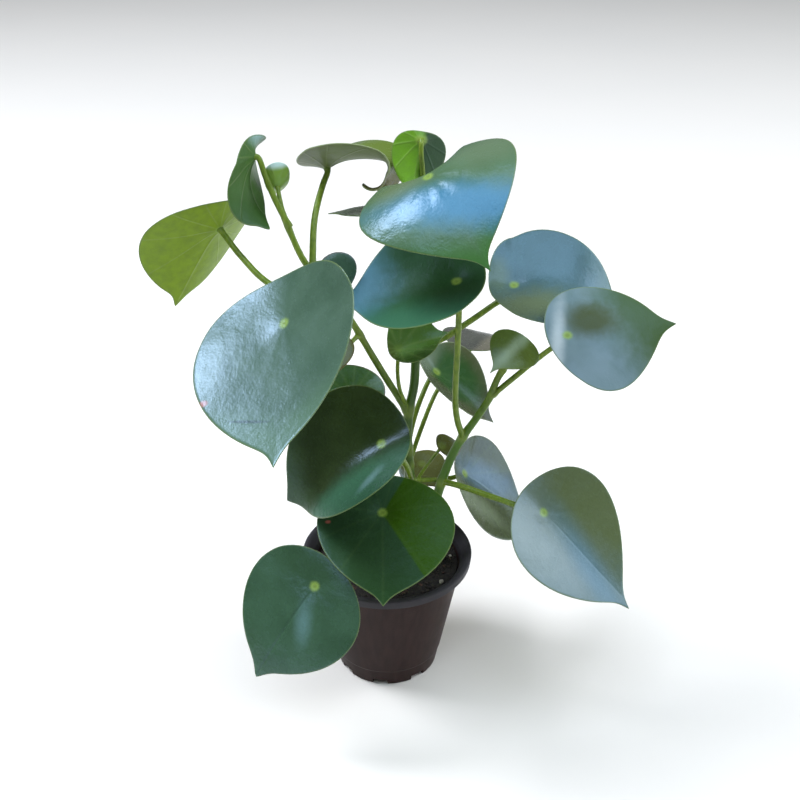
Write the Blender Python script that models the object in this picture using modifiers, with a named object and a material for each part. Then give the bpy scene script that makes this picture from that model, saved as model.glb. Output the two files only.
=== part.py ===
"""Potted peperomia: a nursery pot of soil with two stems and glossy round leaves.

Each leaf is a shallow blade carried on a stalk that joins it inside the blade,
not at its edge. Lengths below are millimetres and angles are degrees; the mesh
is in metres. The origin is the middle of the pot's base, +Z up, and -Y is the
plant's front.
"""
import bpy
import bmesh
from math import cos, exp, hypot, pi, radians, sin, sqrt
from mathutils import Matrix, Vector

MM = 0.001

POT_HEIGHT = 86.0
POT_RIM_RADIUS = 55.0
POT_BASE_RADIUS = 33.0
POT_WALL = 1.4
POT_FLOOR = 2.0
POT_TAPER = 0.2
LIP_HEIGHT = 6.0
LIP_SKIRT = 1.2
DRAIN_NOTCHES = 8
NOTCH_WIDTH = 10.0
NOTCH_HEIGHT = 4.0
NOTCH_DEPTH = 8.0
FIRST_NOTCH_ANGLE = -53.0
POT_STEPS = 40

SEAT_GAP = 0.3
SOIL_LEVEL = 78.0
SOIL_EDGE_DROP = 2.5
SOIL_LUMP = 0.8
SOIL_CROWN = 0.0008
SOIL_STEPS = 32
STEM_FOOT = 50.0
HOLE_CLEARANCE = 0.5
HOLE_STEPS = 16
SHARP_ANGLE = 35.0

BLADE_THICKNESS = 0.8
DIMPLE_DEPTH = 2.5
DIMPLE_REACH = 8.0
TIP_SPREAD = 0.3
FOLD_ROUNDING = 3.0
BEND_STEPS = 80

UPRIGHT_FOOT = (16, 9)
UPRIGHT_RADIUS = 3.6
LEANING_FOOT = (27, 2)
LEANING_RADIUS = 4.0
STALK_RADIUS = 1.7
SHOOT_SPACING = 8.0

POT_BROWN = (0.030, 0.020, 0.018)
SOIL_BLACK = (0.014, 0.010, 0.008)
STEM_GREEN = (0.085, 0.160, 0.025)
DEEP_GREEN = (0.030, 0.085, 0.035)
BLUE_GREEN = (0.060, 0.150, 0.090)
FRESH_GREEN = (0.110, 0.240, 0.020)
UNDER_GREEN = (0.190, 0.270, 0.035)

for leftover in list(bpy.data.objects):
    bpy.data.objects.remove(leftover, do_unlink=True)

plant = bpy.data.collections.new("potted_peperomia")
cutters = bpy.data.collections.new("cutters")
bpy.context.scene.collection.children.link(plant)
bpy.context.scene.collection.children.link(cutters)


def surface_finish(name, color, roughness):
    material = bpy.data.materials.new(name)
    material.use_nodes = True
    shader = material.node_tree.nodes["Principled BSDF"]
    shader.inputs["Base Color"].default_value = (*color, 1.0)
    shader.inputs["Roughness"].default_value = roughness
    shader.inputs["Metallic"].default_value = 0.0
    material.diffuse_color = (*color, 1.0)
    return material


def add_object(name, mesh, collection, material=None):
    obj = bpy.data.objects.new(name, mesh)
    collection.objects.link(obj)
    if material:
        mesh.materials.clear()
        mesh.materials.append(material)
    return obj


def settle(obj):
    """Replace an object's mesh with its evaluated one and drop its modifiers."""
    bpy.context.view_layer.update()
    depsgraph = bpy.context.evaluated_depsgraph_get()
    mesh = bpy.data.meshes.new_from_object(obj.evaluated_get(depsgraph))
    mesh.name = obj.name
    obj.modifiers.clear()
    obj.data = mesh


def turned(name, profile, steps, material):
    """A solid of revolution from (radius, height) points, outer side running down."""
    mesh = bpy.data.meshes.new(name)
    points = [(r * MM, 0.0, z * MM) for r, z in profile]
    edges = [(i, i + 1) for i in range(len(points) - 1)]
    mesh.from_pydata(points, edges, [])
    obj = add_object(name, mesh, plant, material)
    screw = obj.modifiers.new("turn", "SCREW")
    screw.steps = steps
    screw.render_steps = steps
    screw.use_merge_vertices = True
    screw.merge_threshold = 0.00001
    settle(obj)
    obj.data.shade_smooth()
    obj.data.set_sharp_from_angle(angle=radians(SHARP_ANGLE))
    return obj


def cut(obj, cutter):
    cutter.display_type = "WIRE"
    cutter.hide_render = True
    boolean = obj.modifiers.new(cutter.name, "BOOLEAN")
    boolean.operation = "DIFFERENCE"
    boolean.solver = "EXACT"
    boolean.object = cutter


def inner_radius(height):
    return POT_BASE_RADIUS + POT_TAPER * height - POT_WALL


# Pot: a thin tapered wall that steps out under a hanging lip, on a flat floor.
lip_foot = POT_HEIGHT - LIP_HEIGHT
wall_top = POT_BASE_RADIUS + POT_TAPER * lip_foot
pot_profile = [
    (0, POT_FLOOR),
    (inner_radius(POT_FLOOR) - 1.0, POT_FLOOR),
    (inner_radius(POT_FLOOR + 1.0), POT_FLOOR + 1.0),
    (inner_radius(lip_foot + 1.0), lip_foot + 1.0),
    (POT_RIM_RADIUS - 3.6, POT_HEIGHT - 1.4),
    (POT_RIM_RADIUS - 2.6, POT_HEIGHT - 0.3),
    (POT_RIM_RADIUS - 1.6, POT_HEIGHT),
    (POT_RIM_RADIUS - 0.6, POT_HEIGHT - 0.3),
    (POT_RIM_RADIUS, POT_HEIGHT - 1.2),
    (POT_RIM_RADIUS - 0.4, lip_foot),
    (POT_RIM_RADIUS - 0.4 - LIP_SKIRT, lip_foot),
    (POT_RIM_RADIUS - 0.2 - LIP_SKIRT, POT_HEIGHT - 2.0),
    (POT_RIM_RADIUS - 3.2, POT_HEIGHT - 2.4),
    (wall_top + 0.2, lip_foot + 0.2),
    (POT_BASE_RADIUS + POT_TAPER * 1.2, 1.2),
    (POT_BASE_RADIUS - 0.6, 0),
    (0, 0),
]
pot = turned("pot", pot_profile, POT_STEPS, surface_finish("pot", POT_BROWN, 0.42))
for index in range(DRAIN_NOTCHES):
    angle = radians(FIRST_NOTCH_ANGLE + index * 360 / DRAIN_NOTCHES)
    bm = bmesh.new()
    bmesh.ops.create_cube(bm, size=1.0)
    size = (NOTCH_DEPTH * MM, NOTCH_WIDTH * MM, 2 * NOTCH_HEIGHT * MM)
    bmesh.ops.scale(bm, vec=size, verts=bm.verts)
    notch_mesh = bpy.data.meshes.new("drain_notch")
    bm.to_mesh(notch_mesh)
    bm.free()
    notch = add_object(f"drain_notch_{index + 1}", notch_mesh, cutters)
    reach = POT_BASE_RADIUS * MM
    notch.location = (reach * cos(angle), reach * sin(angle), 0.0)
    notch.rotation_euler.z = angle
    cut(pot, notch)


# Soil: fills the pot to just under the lip, a little lumpy on top, with a plain
# round hole for the foot of each stem.
soil_edge = SOIL_LEVEL - SOIL_EDGE_DROP
soil_foot = POT_FLOOR + SEAT_GAP
soil_profile = [(r, SOIL_LEVEL) for r in (0, 7, 15, 23, 31, 38, 43)]
soil_profile += [
    (inner_radius(soil_edge) - SEAT_GAP, soil_edge),
    (inner_radius(soil_foot + 2.0) - SEAT_GAP, soil_foot + 2.0),
    (inner_radius(soil_foot) - 2.0, soil_foot),
    (0, soil_foot),
]
soil = turned("soil", soil_profile, SOIL_STEPS, surface_finish("soil", SOIL_BLACK, 0.95))
for vertex in soil.data.vertices:
    x, y, z = vertex.co / MM
    if z > SOIL_LEVEL - 0.5:
        lump = sin(x * 0.31 + 1.0) * sin(y * 0.37) + 0.6 * sin(x * 0.12 - y * 0.21)
        vertex.co.z = (z + SOIL_LUMP * lump - SOIL_CROWN * (x * x + y * y)) * MM

for label, foot, radius in (
    ("upright", UPRIGHT_FOOT, UPRIGHT_RADIUS),
    ("leaning", LEANING_FOOT, LEANING_RADIUS),
):
    hole_foot = STEM_FOOT - SEAT_GAP
    hole_top = SOIL_LEVEL + 8.0
    bm = bmesh.new()
    bmesh.ops.create_cone(
        bm, cap_ends=True, segments=HOLE_STEPS, depth=(hole_top - hole_foot) * MM,
        radius1=(radius + HOLE_CLEARANCE) * MM, radius2=(radius + HOLE_CLEARANCE) * MM,
    )
    hole_mesh = bpy.data.meshes.new(f"{label}_hole")
    bm.to_mesh(hole_mesh)
    bm.free()
    hole = add_object(f"{label}_hole", hole_mesh, cutters)
    middle = (hole_top + hole_foot) / 2
    hole.location = Vector((foot[0], foot[1], middle)) * MM
    cut(soil, hole)


# Leaf blades: a rounded outline with a drawn-out tip, dimpled where the stalk
# joins, bent across and along, and thickened evenly.
def bent_line(length, arch, curl):
    """Stations along a bent midrib: distance, forward, drop and bend angle."""
    step = 2.4 * length / BEND_STEPS
    stations = []
    forward = 0.0
    drop = 0.0
    for count in range(BEND_STEPS + 1):
        distance = -1.2 * length + count * step
        angle = arch * distance / length + curl * (max(distance, 0) / length) ** 2
        stations.append([distance, forward, drop, angle])
        forward += cos(angle) * step
        drop -= sin(angle) * step
    middle = stations[BEND_STEPS // 2]
    zero = (middle[1], middle[2])
    for station in stations:
        station[1] -= zero[0]
        station[2] -= zero[1]
    return stations


def along(stations, distance):
    """Forward, drop and angle of a bent midrib at a distance from the stalk."""
    step = stations[1][0] - stations[0][0]
    place = (distance - stations[0][0]) / step
    index = min(max(int(place), 0), len(stations) - 2)
    share = place - index
    low, high = stations[index], stations[index + 1]
    return [low[k] + (high[k] - low[k]) * share for k in (1, 2, 3)]


def blade(name, at, facing, rise, turn, length, width, color, base=0.25, full=0.6,
          across=0, arch=0, curl=0, fold=0.0, slant=0.0, sweep=0.0, lop=0.0, point=5.0):
    """One leaf blade; returns the place and direction of its stalk's end.

    at: where the stalk joins. facing, rise: the way its upper side faces, round
    from +X and up from level. turn: the tip's turn from straight downhill.
    base: share of the length behind the stalk. full: how far the widest place
    sits towards the base. across, arch, curl: bends over the width, the length
    and the tip. fold: rise of the sides from the midrib. slant, sweep, lop:
    sideways shear, sideways curve of the tip and difference between the halves.
    """
    large = length > 55
    spokes = 24 if large else 18
    rings = 4 if large else 3
    oval = length - point
    widest = max(sin(k * pi / 180) * sin(k * pi / 360) ** full for k in range(1, 180))
    stations = bent_line(length, radians(arch), radians(curl))
    across_radius = width / (radians(across) + 0.000001)

    bm = bmesh.new()
    bmesh.ops.create_grid(bm, x_segments=spokes, y_segments=rings, size=0.5)
    for vertex in bm.verts:
        round_angle = (vertex.co.x + 0.5) * 2 * pi
        share = vertex.co.y + 0.5
        half = min(round_angle, 2 * pi - round_angle)
        side = 1.0 if round_angle <= pi else -1.0
        breadth = sin(half) * max(sin(half / 2), 0.0) ** full / widest
        u = side * width / 2 * breadth * (1 + lop * side)
        v = oval / 2 * (cos(half) + 1) + point * exp(-((half / TIP_SPREAD) ** 2))
        v -= base * oval
        u += sweep * max(v, 0.0) ** 2 / oval
        v += slant * u
        u *= share
        v *= share
        x = across_radius * sin(u / across_radius)
        z = -across_radius * (1 - cos(u / across_radius))
        z += fold * (sqrt(u * u + FOLD_ROUNDING ** 2) - FOLD_ROUNDING)
        forward, drop, angle = along(stations, v)
        y = forward + z * sin(angle)
        z = drop + z * cos(angle)
        z += DIMPLE_DEPTH * (1 - exp(-((hypot(u, v) / DIMPLE_REACH) ** 2)))
        vertex.co = Vector((x, y, z)) * MM
    bmesh.ops.remove_doubles(bm, verts=bm.verts, dist=0.000001)
    bmesh.ops.triangulate(bm, faces=bm.faces)
    mesh = bpy.data.meshes.new(name)
    bm.to_mesh(mesh)
    bm.free()
    mesh.shade_smooth()

    finish = surface_finish(name, color, 0.3)
    obj = add_object(name, mesh, plant, finish)
    solidify = obj.modifiers.new("thickness", "SOLIDIFY")
    solidify.thickness = BLADE_THICKNESS * MM
    solidify.offset = 0.0

    facing, rise, turn = radians(facing), radians(rise), radians(turn)
    normal = Vector((cos(rise) * cos(facing), cos(rise) * sin(facing), sin(rise)))
    downhill = Vector((sin(rise) * cos(facing), sin(rise) * sin(facing), -cos(rise)))
    tip_way = downhill * cos(turn) + downhill.cross(normal) * sin(turn)
    basis = Matrix((tip_way.cross(normal), tip_way, normal)).transposed()
    obj.matrix_world = Matrix.Translation(Vector(at) * MM) @ basis.to_4x4()
    seat = Vector(at) - normal * (BLADE_THICKNESS / 2 + SEAT_GAP)
    return seat, normal


big_left = blade(
    "leaf_big_left", (-50, -83, 286), -136, 45, -38, 112, 100, BLUE_GREEN,
    base=0.26, full=0.65, across=-34, arch=-3, curl=-15, slant=0.08, sweep=-0.04, lop=0.04)
dark_middle = blade(
    "leaf_dark_middle", (-2, -48, 194), -126, 57, 40, 90, 78, DEEP_GREEN,
    base=0.21, full=0.45, across=-37, arch=33, curl=31, fold=0.16, slant=-0.07,
    sweep=0.15, lop=0.07)
over_soil = blade(
    "leaf_over_soil", (-2, -47, 146), -89, 62, 0, 88, 81, DEEP_GREEN,
    base=0.30, across=14, arch=-3, curl=-27, slant=-0.02, lop=-0.05, point=4.0)
low_left = blade(
    "leaf_low_left", (-41, -78, 116), -104, 39, 28, 83, 75, DEEP_GREEN,
    base=0.22, full=0.5, across=19, arch=21, curl=10, slant=-0.06)
saddle_top = blade(
    "leaf_saddle_top", (23, -35, 347), -144, 63, -66, 89, 90, BLUE_GREEN,
    base=0.28, full=0.9, across=27, arch=92, curl=-7, slant=0.07, sweep=-0.13,
    lop=-0.04, point=6.5)
upper_middle = blade(
    "leaf_upper_middle", (39, -36, 289), -127, 58, 62, 82, 76, DEEP_GREEN,
    base=0.22, full=0.5, across=-10, arch=8, curl=-4, fold=0.31, slant=-0.04)
upper_right = blade(
    "leaf_upper_right", (76, 18, 264), -99, 63, -106, 81, 70, BLUE_GREEN,
    base=0.19, full=0.5, across=9, arch=17, curl=22, fold=0.19, sweep=-0.05, lop=-0.03)
cupped_right = blade(
    "leaf_cupped_right", (102, -30, 254), -87, 56, -96, 75, 67, BLUE_GREEN,
    base=0.18, across=9, arch=11, curl=5, slant=0.05, lop=0.09, point=6.0)
low_right = blade(
    "leaf_low_right", (95, -35, 138), -58, 49, -24, 95, 82, BLUE_GREEN,
    base=0.21, full=0.65, across=6, arch=13, curl=-3, fold=0.13, slant=0.03,
    sweep=0.04, lop=-0.04, point=5.5)
folded_low_right = blade(
    "leaf_folded_low_right", (50, 20, 131), -27, 34, -26, 76, 68, BLUE_GREEN,
    base=0.18, full=0.5, across=8, arch=-6, curl=-28, fold=0.24, slant=0.09, sweep=0.21)
narrow_middle = blade(
    "leaf_narrow_middle", (31, 30, 200), -33, 52, -7, 62, 50, DEEP_GREEN,
    base=0.24, full=0.65, across=17, arch=16, curl=-3, fold=0.52, slant=0.04, sweep=-0.11)
young_middle = blade(
    "leaf_young_middle", (8, -16, 239), -86, 59, -108, 38, 34, FRESH_GREEN,
    base=0.21, across=17, arch=6, curl=12, fold=0.57, slant=-0.09, sweep=-0.07, point=6.0)
level_behind = blade(
    "leaf_level_behind", (54, 60, 205), -18, 88, -78, 47, 43, BLUE_GREEN,
    base=0.25, full=0.75, across=-7, arch=32, curl=16, fold=0.04)
young_right = blade(
    "leaf_young_right", (76, -24, 246), -51, 60, 73, 36, 30, FRESH_GREEN,
    base=0.25, full=0.85, across=46, arch=33, curl=-4, fold=0.36, slant=0.07)
far_left = blade(
    "leaf_far_left", (-95, 12, 302), 134, 31, -16, 82, 76, UNDER_GREEN,
    base=0.28, full=0.4, across=-5, arch=7, curl=-3, fold=0.26, slant=-0.10, lop=-0.04,
    point=4.5)
upper_left = blade(
    "leaf_upper_left", (-70, -12, 351), -165, 22, -50, 62, 56, DEEP_GREEN,
    base=0.21, across=0, arch=-20, curl=145, fold=0.05, sweep=-0.05, lop=0.09, point=6.0)
bud_leaf = blade(
    "leaf_bud", (-59, 0, 331), 104, 30, 0, 20, 16, FRESH_GREEN,
    base=0.45, full=0.8, across=-80, arch=-60, curl=-20, fold=0.05, point=0.5)
arched_top = blade(
    "leaf_arched_top", (-33, 20, 336), 116, 82, 131, 69, 60, UNDER_GREEN,
    base=0.21, full=0.5, across=-20, arch=-22, curl=255, slant=-0.20, sweep=-0.04,
    lop=-0.04, point=3.5)
youngest_top = blade(
    "leaf_youngest_top", (20, 9, 354), 92, 6, -6, 36, 31, FRESH_GREEN,
    base=0.17, full=0.75, across=-112, arch=15, curl=20, lop=0.05, point=3.0)
hidden_top = blade(
    "leaf_hidden_top", (3, 16, 309), 90, 80, -78, 46, 40, DEEP_GREEN,
    base=0.22, arch=12)
small_behind_left = blade(
    "leaf_small_behind_left", (-27, -30, 292), -48, 9, 0, 31, 27, DEEP_GREEN,
    base=0.37, full=0.85, arch=53, curl=60, sweep=-0.10, point=1.6)
small_left = blade(
    "leaf_small_left", (-30, -40, 253), -77, 47, 9, 31, 26, DEEP_GREEN,
    base=0.29, full=0.8, across=10, arch=13, curl=10)
inner_left = blade(
    "leaf_inner_left", (-21, 8, 196), -100, 58, 15, 52, 44, DEEP_GREEN,
    base=0.37, across=13, arch=-44, curl=-37, point=3.0)
smallest_inner = blade(
    "leaf_smallest_inner", (35, 20, 152), -69, 54, -79, 17, 16, FRESH_GREEN,
    base=0.17, full=0.7, arch=19, slant=0.30, point=1.0)
inner_low = blade(
    "leaf_inner_low", (23, 40, 126), -92, 70, -29, 36, 32, DEEP_GREEN,
    base=0.30, full=0.8, across=23, curl=-17, lop=0.06, point=3.0)


# Stems and leaf stalks: round shoots that follow a smooth line through a few
# points. Each stalk grows from inside its stem and ends square under its blade.
def smooth_line(points, spacing):
    """Points about evenly spaced on a smooth curve through the given points."""
    path = [Vector(p) for p in points]
    path = [2 * path[0] - path[1], *path, 2 * path[-1] - path[-2]]
    line = []
    for a, b, c, d in zip(path, path[1:], path[2:], path[3:]):
        before, span, after = (sqrt((q - p).length) for p, q in ((a, b), (b, c), (c, d)))
        leave = (c - b) + span * ((b - a) / before - (c - a) / (before + span))
        arrive = (c - b) + span * ((d - c) / after - (d - b) / (span + after))
        steps = max(1, round((c - b).length / spacing))
        for count in range(steps):
            t = count / steps
            line.append(
                b * (2 * t ** 3 - 3 * t * t + 1) + leave * (t ** 3 - 2 * t * t + t)
                + c * (3 * t * t - 2 * t ** 3) + arrive * (t ** 3 - t * t)
            )
    line.append(path[-2])
    return line


def shoot(name, points, first_radius, last_radius, collection):
    """A tapering round tube along a smooth line, closed at both ends."""
    line = smooth_line(points, SHOOT_SPACING)
    curve = bpy.data.curves.new(name, "CURVE")
    curve.dimensions = "3D"
    curve.bevel_depth = MM
    curve.bevel_resolution = 2
    curve.use_fill_caps = True
    spline = curve.splines.new("POLY")
    spline.points.add(len(line) - 1)
    for index, (point, place) in enumerate(zip(spline.points, line)):
        point.co = (*(place * MM), 1.0)
        share = index / (len(line) - 1)
        point.radius = first_radius + (last_radius - first_radius) * share
    guide = bpy.data.objects.new(name + "_line", curve)
    collection.objects.link(guide)
    bpy.context.view_layer.update()
    depsgraph = bpy.context.evaluated_depsgraph_get()
    mesh = bpy.data.meshes.new_from_object(guide.evaluated_get(depsgraph))
    bm = bmesh.new()
    bm.from_mesh(mesh)
    bmesh.ops.remove_doubles(bm, verts=bm.verts, dist=0.000001)
    bm.to_mesh(mesh)
    bm.free()
    mesh.name = name
    obj = add_object(name, mesh, collection)
    obj.matrix_world = guide.matrix_world
    bpy.data.objects.remove(guide, do_unlink=True)
    return obj


def stalk(group, points, end, radius=STALK_RADIUS, approach=6.0):
    """A leaf stalk from inside its stem to the seat under its blade."""
    seat, normal = end
    route = [*points, seat - normal * approach, seat]
    return shoot(f"stalk_{len(group.objects) + 1}", route, radius * 1.15, radius, group)


def grow_together(stem, group, material):
    """Join a stem with the shoots and stalks in its collection, as one body."""
    union = stem.modifiers.new("grow", "BOOLEAN")
    union.operation = "UNION"
    union.operand_type = "COLLECTION"
    union.collection = group
    union.solver = "EXACT"
    settle(stem)
    for grown in list(group.objects):
        bpy.data.objects.remove(grown, do_unlink=True)
    bpy.data.collections.remove(group)
    stem.data.materials.clear()
    stem.data.materials.append(material)
    stem.data.shade_smooth()


foot_x, foot_y = UPRIGHT_FOOT
upright = shoot(
    "stem_upright",
    [(foot_x, foot_y, STEM_FOOT), (foot_x, foot_y, 84), (16, 9, 102), (15, 8, 130),
     (13, 8, 164), (14, 8, 185), (17, 8, 203), (18, 9, 228), (20, 12, 262),
     (20, 14, 300), (21, 14, 318)],
    UPRIGHT_RADIUS, 2.2, plant)
upright_growth = bpy.data.collections.new("upright_growth")
bpy.context.scene.collection.children.link(upright_growth)
shoot(
    "side_shoot",
    [(13, 8, 184), (-5, -2, 222), (-19, -12, 254), (-31, -18, 277), (-44, -20, 294),
     (-55, -14, 318)],
    2.2, 1.7, upright_growth)
stalk(upright_growth, [(-28, -16, 271), (-35, -32, 272), (-42, -58, 276)], big_left)
stalk(upright_growth, [(16, 8, 132), (13, -10, 154), (7, -28, 175)], dark_middle)
stalk(upright_growth, [(16, 9, 92), (7, -16, 113), (0, -36, 132)], over_soil)
stalk(upright_growth, [(16, 8, 98), (-4, -18, 106), (-25, -46, 106)], low_left)
stalk(upright_growth, [(21, 14, 308), (24, -2, 326), (27, -24, 336)], saddle_top)
stalk(upright_growth, [(18, 9, 228), (33, 13, 231), (50, 15, 242), (67, 19, 253)], upper_right)
stalk(upright_growth, [(15, 8, 134), (32, 13, 131), (42, 20, 128)], folded_low_right,
      radius=1.5, approach=4)
stalk(upright_growth, [(13, 8, 158), (17, 14, 175), (22, 22, 187)], narrow_middle, radius=1.5)
stalk(upright_growth, [(13, 8, 187), (8, -2, 206), (7, -10, 226)], young_middle,
      radius=1.1, approach=4)
stalk(upright_growth, [(14, 8, 146), (23, 21, 168), (32, 35, 184), (46, 52, 197)],
      level_behind, radius=1.3, approach=4)
stalk(upright_growth, [(-28, -16, 271), (-48, -18, 272), (-66, -15, 280), (-82, -2, 291)],
      far_left)
stalk(upright_growth, [(-52, -16, 313), (-59, -15, 328), (-64, -13, 341)], upper_left,
      radius=1.5)
stalk(upright_growth, [(-52, -16, 313), (-56, -10, 321)], bud_leaf, radius=1.2, approach=4)
stalk(upright_growth, [(-40, -20, 289), (-39, -5, 313), (-35, 14, 327)], arched_top)
stalk(upright_growth, [(21, 14, 312), (21, 7, 335), (20, 4, 348)], youngest_top,
      radius=1.3, approach=3)
stalk(upright_growth, [(20, 13, 280), (10, 17, 295)], hidden_top, radius=1.4)
stalk(upright_growth, [(-34, -19, 281), (-35, -22, 288)], small_behind_left,
      radius=1.2, approach=4)
stalk(upright_growth, [(-15, -9, 245), (-24, -24, 243)], small_left, radius=1.2, approach=4)
stalk(upright_growth, [(14, 8, 156), (0, 9, 174), (-15, 11, 186)], inner_left, radius=1.3)
stalk(upright_growth, [(16, 8, 128), (25, 13, 141)], smallest_inner, radius=1.0, approach=4)
stalk(upright_growth, [(16, 9, 90), (20, 24, 100), (22, 36, 112)], inner_low, radius=1.3)
stem_skin = surface_finish("stem_upright", STEM_GREEN, 0.45)
grow_together(upright, upright_growth, stem_skin)

foot_x, foot_y = LEANING_FOOT
leaning = shoot(
    "stem_leaning",
    [(foot_x, foot_y, STEM_FOOT), (foot_x, foot_y, 86), (29, 2, 108), (33, 2, 130),
     (41, 0, 158), (47, -2, 172), (54, -4, 185), (62, -6, 201), (66, -8, 215),
     (70, -8, 223)],
    LEANING_RADIUS, 1.9, plant)
leaning_growth = bpy.data.collections.new("leaning_growth")
bpy.context.scene.collection.children.link(leaning_growth)
stalk(leaning_growth, [(47, -2, 172), (43, -10, 188), (41, -16, 205), (41, -25, 243),
                       (41, -31, 271)], upper_middle)
stalk(leaning_growth, [(64, -7, 204), (79, -11, 221), (87, -15, 231), (96, -22, 243)],
      cupped_right, radius=1.5)
stalk(leaning_growth, [(35, 2, 137), (47, -12, 142), (60, -22, 143), (80, -32, 141)],
      low_right, approach=3)
stalk(leaning_growth, [(69, -8, 221), (72, -15, 232)], young_right, radius=1.6, approach=4)
leaning_skin = surface_finish("stem_leaning", STEM_GREEN, 0.45)
grow_together(leaning, leaning_growth, leaning_skin)
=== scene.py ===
"""Potted peperomia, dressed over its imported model.

A dark plastic nursery pot holds compost and two fleshy green stems. Each glossy
round leaf hangs on a stalk that joins the blade inside its edge, at a pale dot.
Lengths are millimetres and angles degrees until a mesh is made in metres.
"""
from math import cos, exp, pi, radians, sin, sqrt

import bpy
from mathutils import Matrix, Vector, noise


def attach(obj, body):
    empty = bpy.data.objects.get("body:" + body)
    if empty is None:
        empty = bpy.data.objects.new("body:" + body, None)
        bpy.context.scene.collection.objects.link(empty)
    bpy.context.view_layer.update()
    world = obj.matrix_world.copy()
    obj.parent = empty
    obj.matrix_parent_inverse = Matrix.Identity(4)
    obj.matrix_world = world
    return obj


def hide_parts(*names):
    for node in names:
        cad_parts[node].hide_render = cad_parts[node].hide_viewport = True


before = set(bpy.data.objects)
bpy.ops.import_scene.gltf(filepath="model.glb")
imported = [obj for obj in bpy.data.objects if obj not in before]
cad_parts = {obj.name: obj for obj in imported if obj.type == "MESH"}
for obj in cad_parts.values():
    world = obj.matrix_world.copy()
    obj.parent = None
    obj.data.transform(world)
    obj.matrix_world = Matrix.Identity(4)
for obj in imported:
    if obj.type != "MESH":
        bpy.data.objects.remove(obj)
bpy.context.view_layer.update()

# Floor, light and camera
# The plant stands on a pale matt table. Cool daylight comes from a window high on
# the left, a wide bright ceiling over the front, and a tall pale wall on the right.
scene = bpy.context.scene
scene.view_settings.view_transform = "Standard"
STUDIO_MIDDLE = Vector((0.01, -0.03, 0.22))
LIGHTS_AWAY = 3.0
ROOM_COLOR = (0.80, 0.82, 0.80, 1.0)
ROOM_STRENGTH = 0.2
TABLE_HALF = 4.0
TABLE_TONES = ((0.86, 0.82, 0.77, 1.0), (0.90, 0.85, 0.79, 1.0))
TABLE_CLOUD_SCALE = 3.0
TABLE_ROUGHNESS = 0.7
CAMERA_LENS = 51.75
CAMERA_SENSOR = 36.0
CAMERA_PLACE = (0.0084, -0.612, 0.531)
CAMERA_TILT = 61.35


def soft_box(name, azimuth, height, size, color, power):
    """An area light that faces the plant from a compass angle and a height angle."""
    light = bpy.data.lights.new(name, "AREA")
    light.shape = "RECTANGLE"
    light.size, light.size_y = size
    light.color = color
    light.energy = power
    lamp = bpy.data.objects.new(name, light)
    azimuth, height = radians(azimuth), radians(height)
    way = Vector((cos(height) * cos(azimuth), cos(height) * sin(azimuth), sin(height)))
    lamp.location = STUDIO_MIDDLE + way * LIGHTS_AWAY
    lamp.rotation_euler = way.to_track_quat("Z", "Y").to_euler()
    scene.collection.objects.link(lamp)


soft_box("window", 169, 54, (1.1, 1.2), (0.86, 0.91, 1.0), 92.0)
soft_box("ceiling", -80, 70, (3.6, 2.4), (0.76, 0.87, 1.0), 92.0)
soft_box("wall", 5, 24, (1.4, 2.6), (0.90, 0.95, 1.0), 62.0)

world = bpy.data.worlds.new("room")
world.use_nodes = True
room_glow = world.node_tree.nodes["Background"]
room_glow.inputs["Color"].default_value = ROOM_COLOR
room_glow.inputs["Strength"].default_value = ROOM_STRENGTH
scene.world = world

table_finish = bpy.data.materials.new("pale_table")
table_finish.use_nodes = True
table_nodes = table_finish.node_tree.nodes
table_nodes["Principled BSDF"].inputs["Roughness"].default_value = TABLE_ROUGHNESS
table_place = table_nodes.new("ShaderNodeTexCoord")
table_cloud = table_nodes.new("ShaderNodeTexNoise")
table_cloud.inputs["Scale"].default_value = TABLE_CLOUD_SCALE
table_tone = table_nodes.new("ShaderNodeValToRGB")
for stop, tone in zip(table_tone.color_ramp.elements, TABLE_TONES):
    stop.color = tone
table_links = table_finish.node_tree.links
table_links.new(table_place.outputs["Object"], table_cloud.inputs["Vector"])
table_links.new(table_cloud.outputs["Fac"], table_tone.inputs["Fac"])
table_links.new(table_tone.outputs["Color"], table_nodes["Principled BSDF"].inputs["Base Color"])
table_mesh = bpy.data.meshes.new("table")
table_mesh.from_pydata([(x * TABLE_HALF, y * TABLE_HALF, 0)
                        for x, y in ((-1, -1), (1, -1), (1, 1), (-1, 1))], [], [(0, 1, 2, 3)])
table_mesh.materials.append(table_finish)
table = bpy.data.objects.new("table", table_mesh)
scene.collection.objects.link(table)

camera_lens = bpy.data.cameras.new("camera")
camera_lens.lens = CAMERA_LENS
camera_lens.sensor_width = CAMERA_SENSOR
camera = bpy.data.objects.new("camera", camera_lens)
camera.location = CAMERA_PLACE
camera.rotation_euler = (radians(CAMERA_TILT), 0.0, 0.0)
scene.collection.objects.link(camera)
scene.camera = camera


# Pot
# A thin nursery pot of dark brown plastic, moulded in one shot. Its wall steps out
# under a hanging lip, and notches in the bottom edge let the water out.
MM = 0.001
POT_HEIGHT = 86.0
POT_RIM_RADIUS = 55.0
POT_BASE_RADIUS = 33.0
POT_WALL = 1.4
POT_FLOOR = 2.0
POT_TAPER = 0.2
LIP_FOOT = 80.0
FOOT_LINE = 13.0
POT_TURNS = 160
CORNER_STEPS = 5
NOTCHES = 8
FIRST_NOTCH = -53.0
NOTCH_SIZE = (8.0, 10.0, 8.0)
POT_BROWNS = ((0.022, 0.010, 0.0085), (0.032, 0.015, 0.013))
POT_DUST = (0.040, 0.034, 0.032)
LIP_SHEEN_GREY = (0.046, 0.050, 0.060)
POT_SHARP = 50.0
MERGE_REACH = 0.000001


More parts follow.
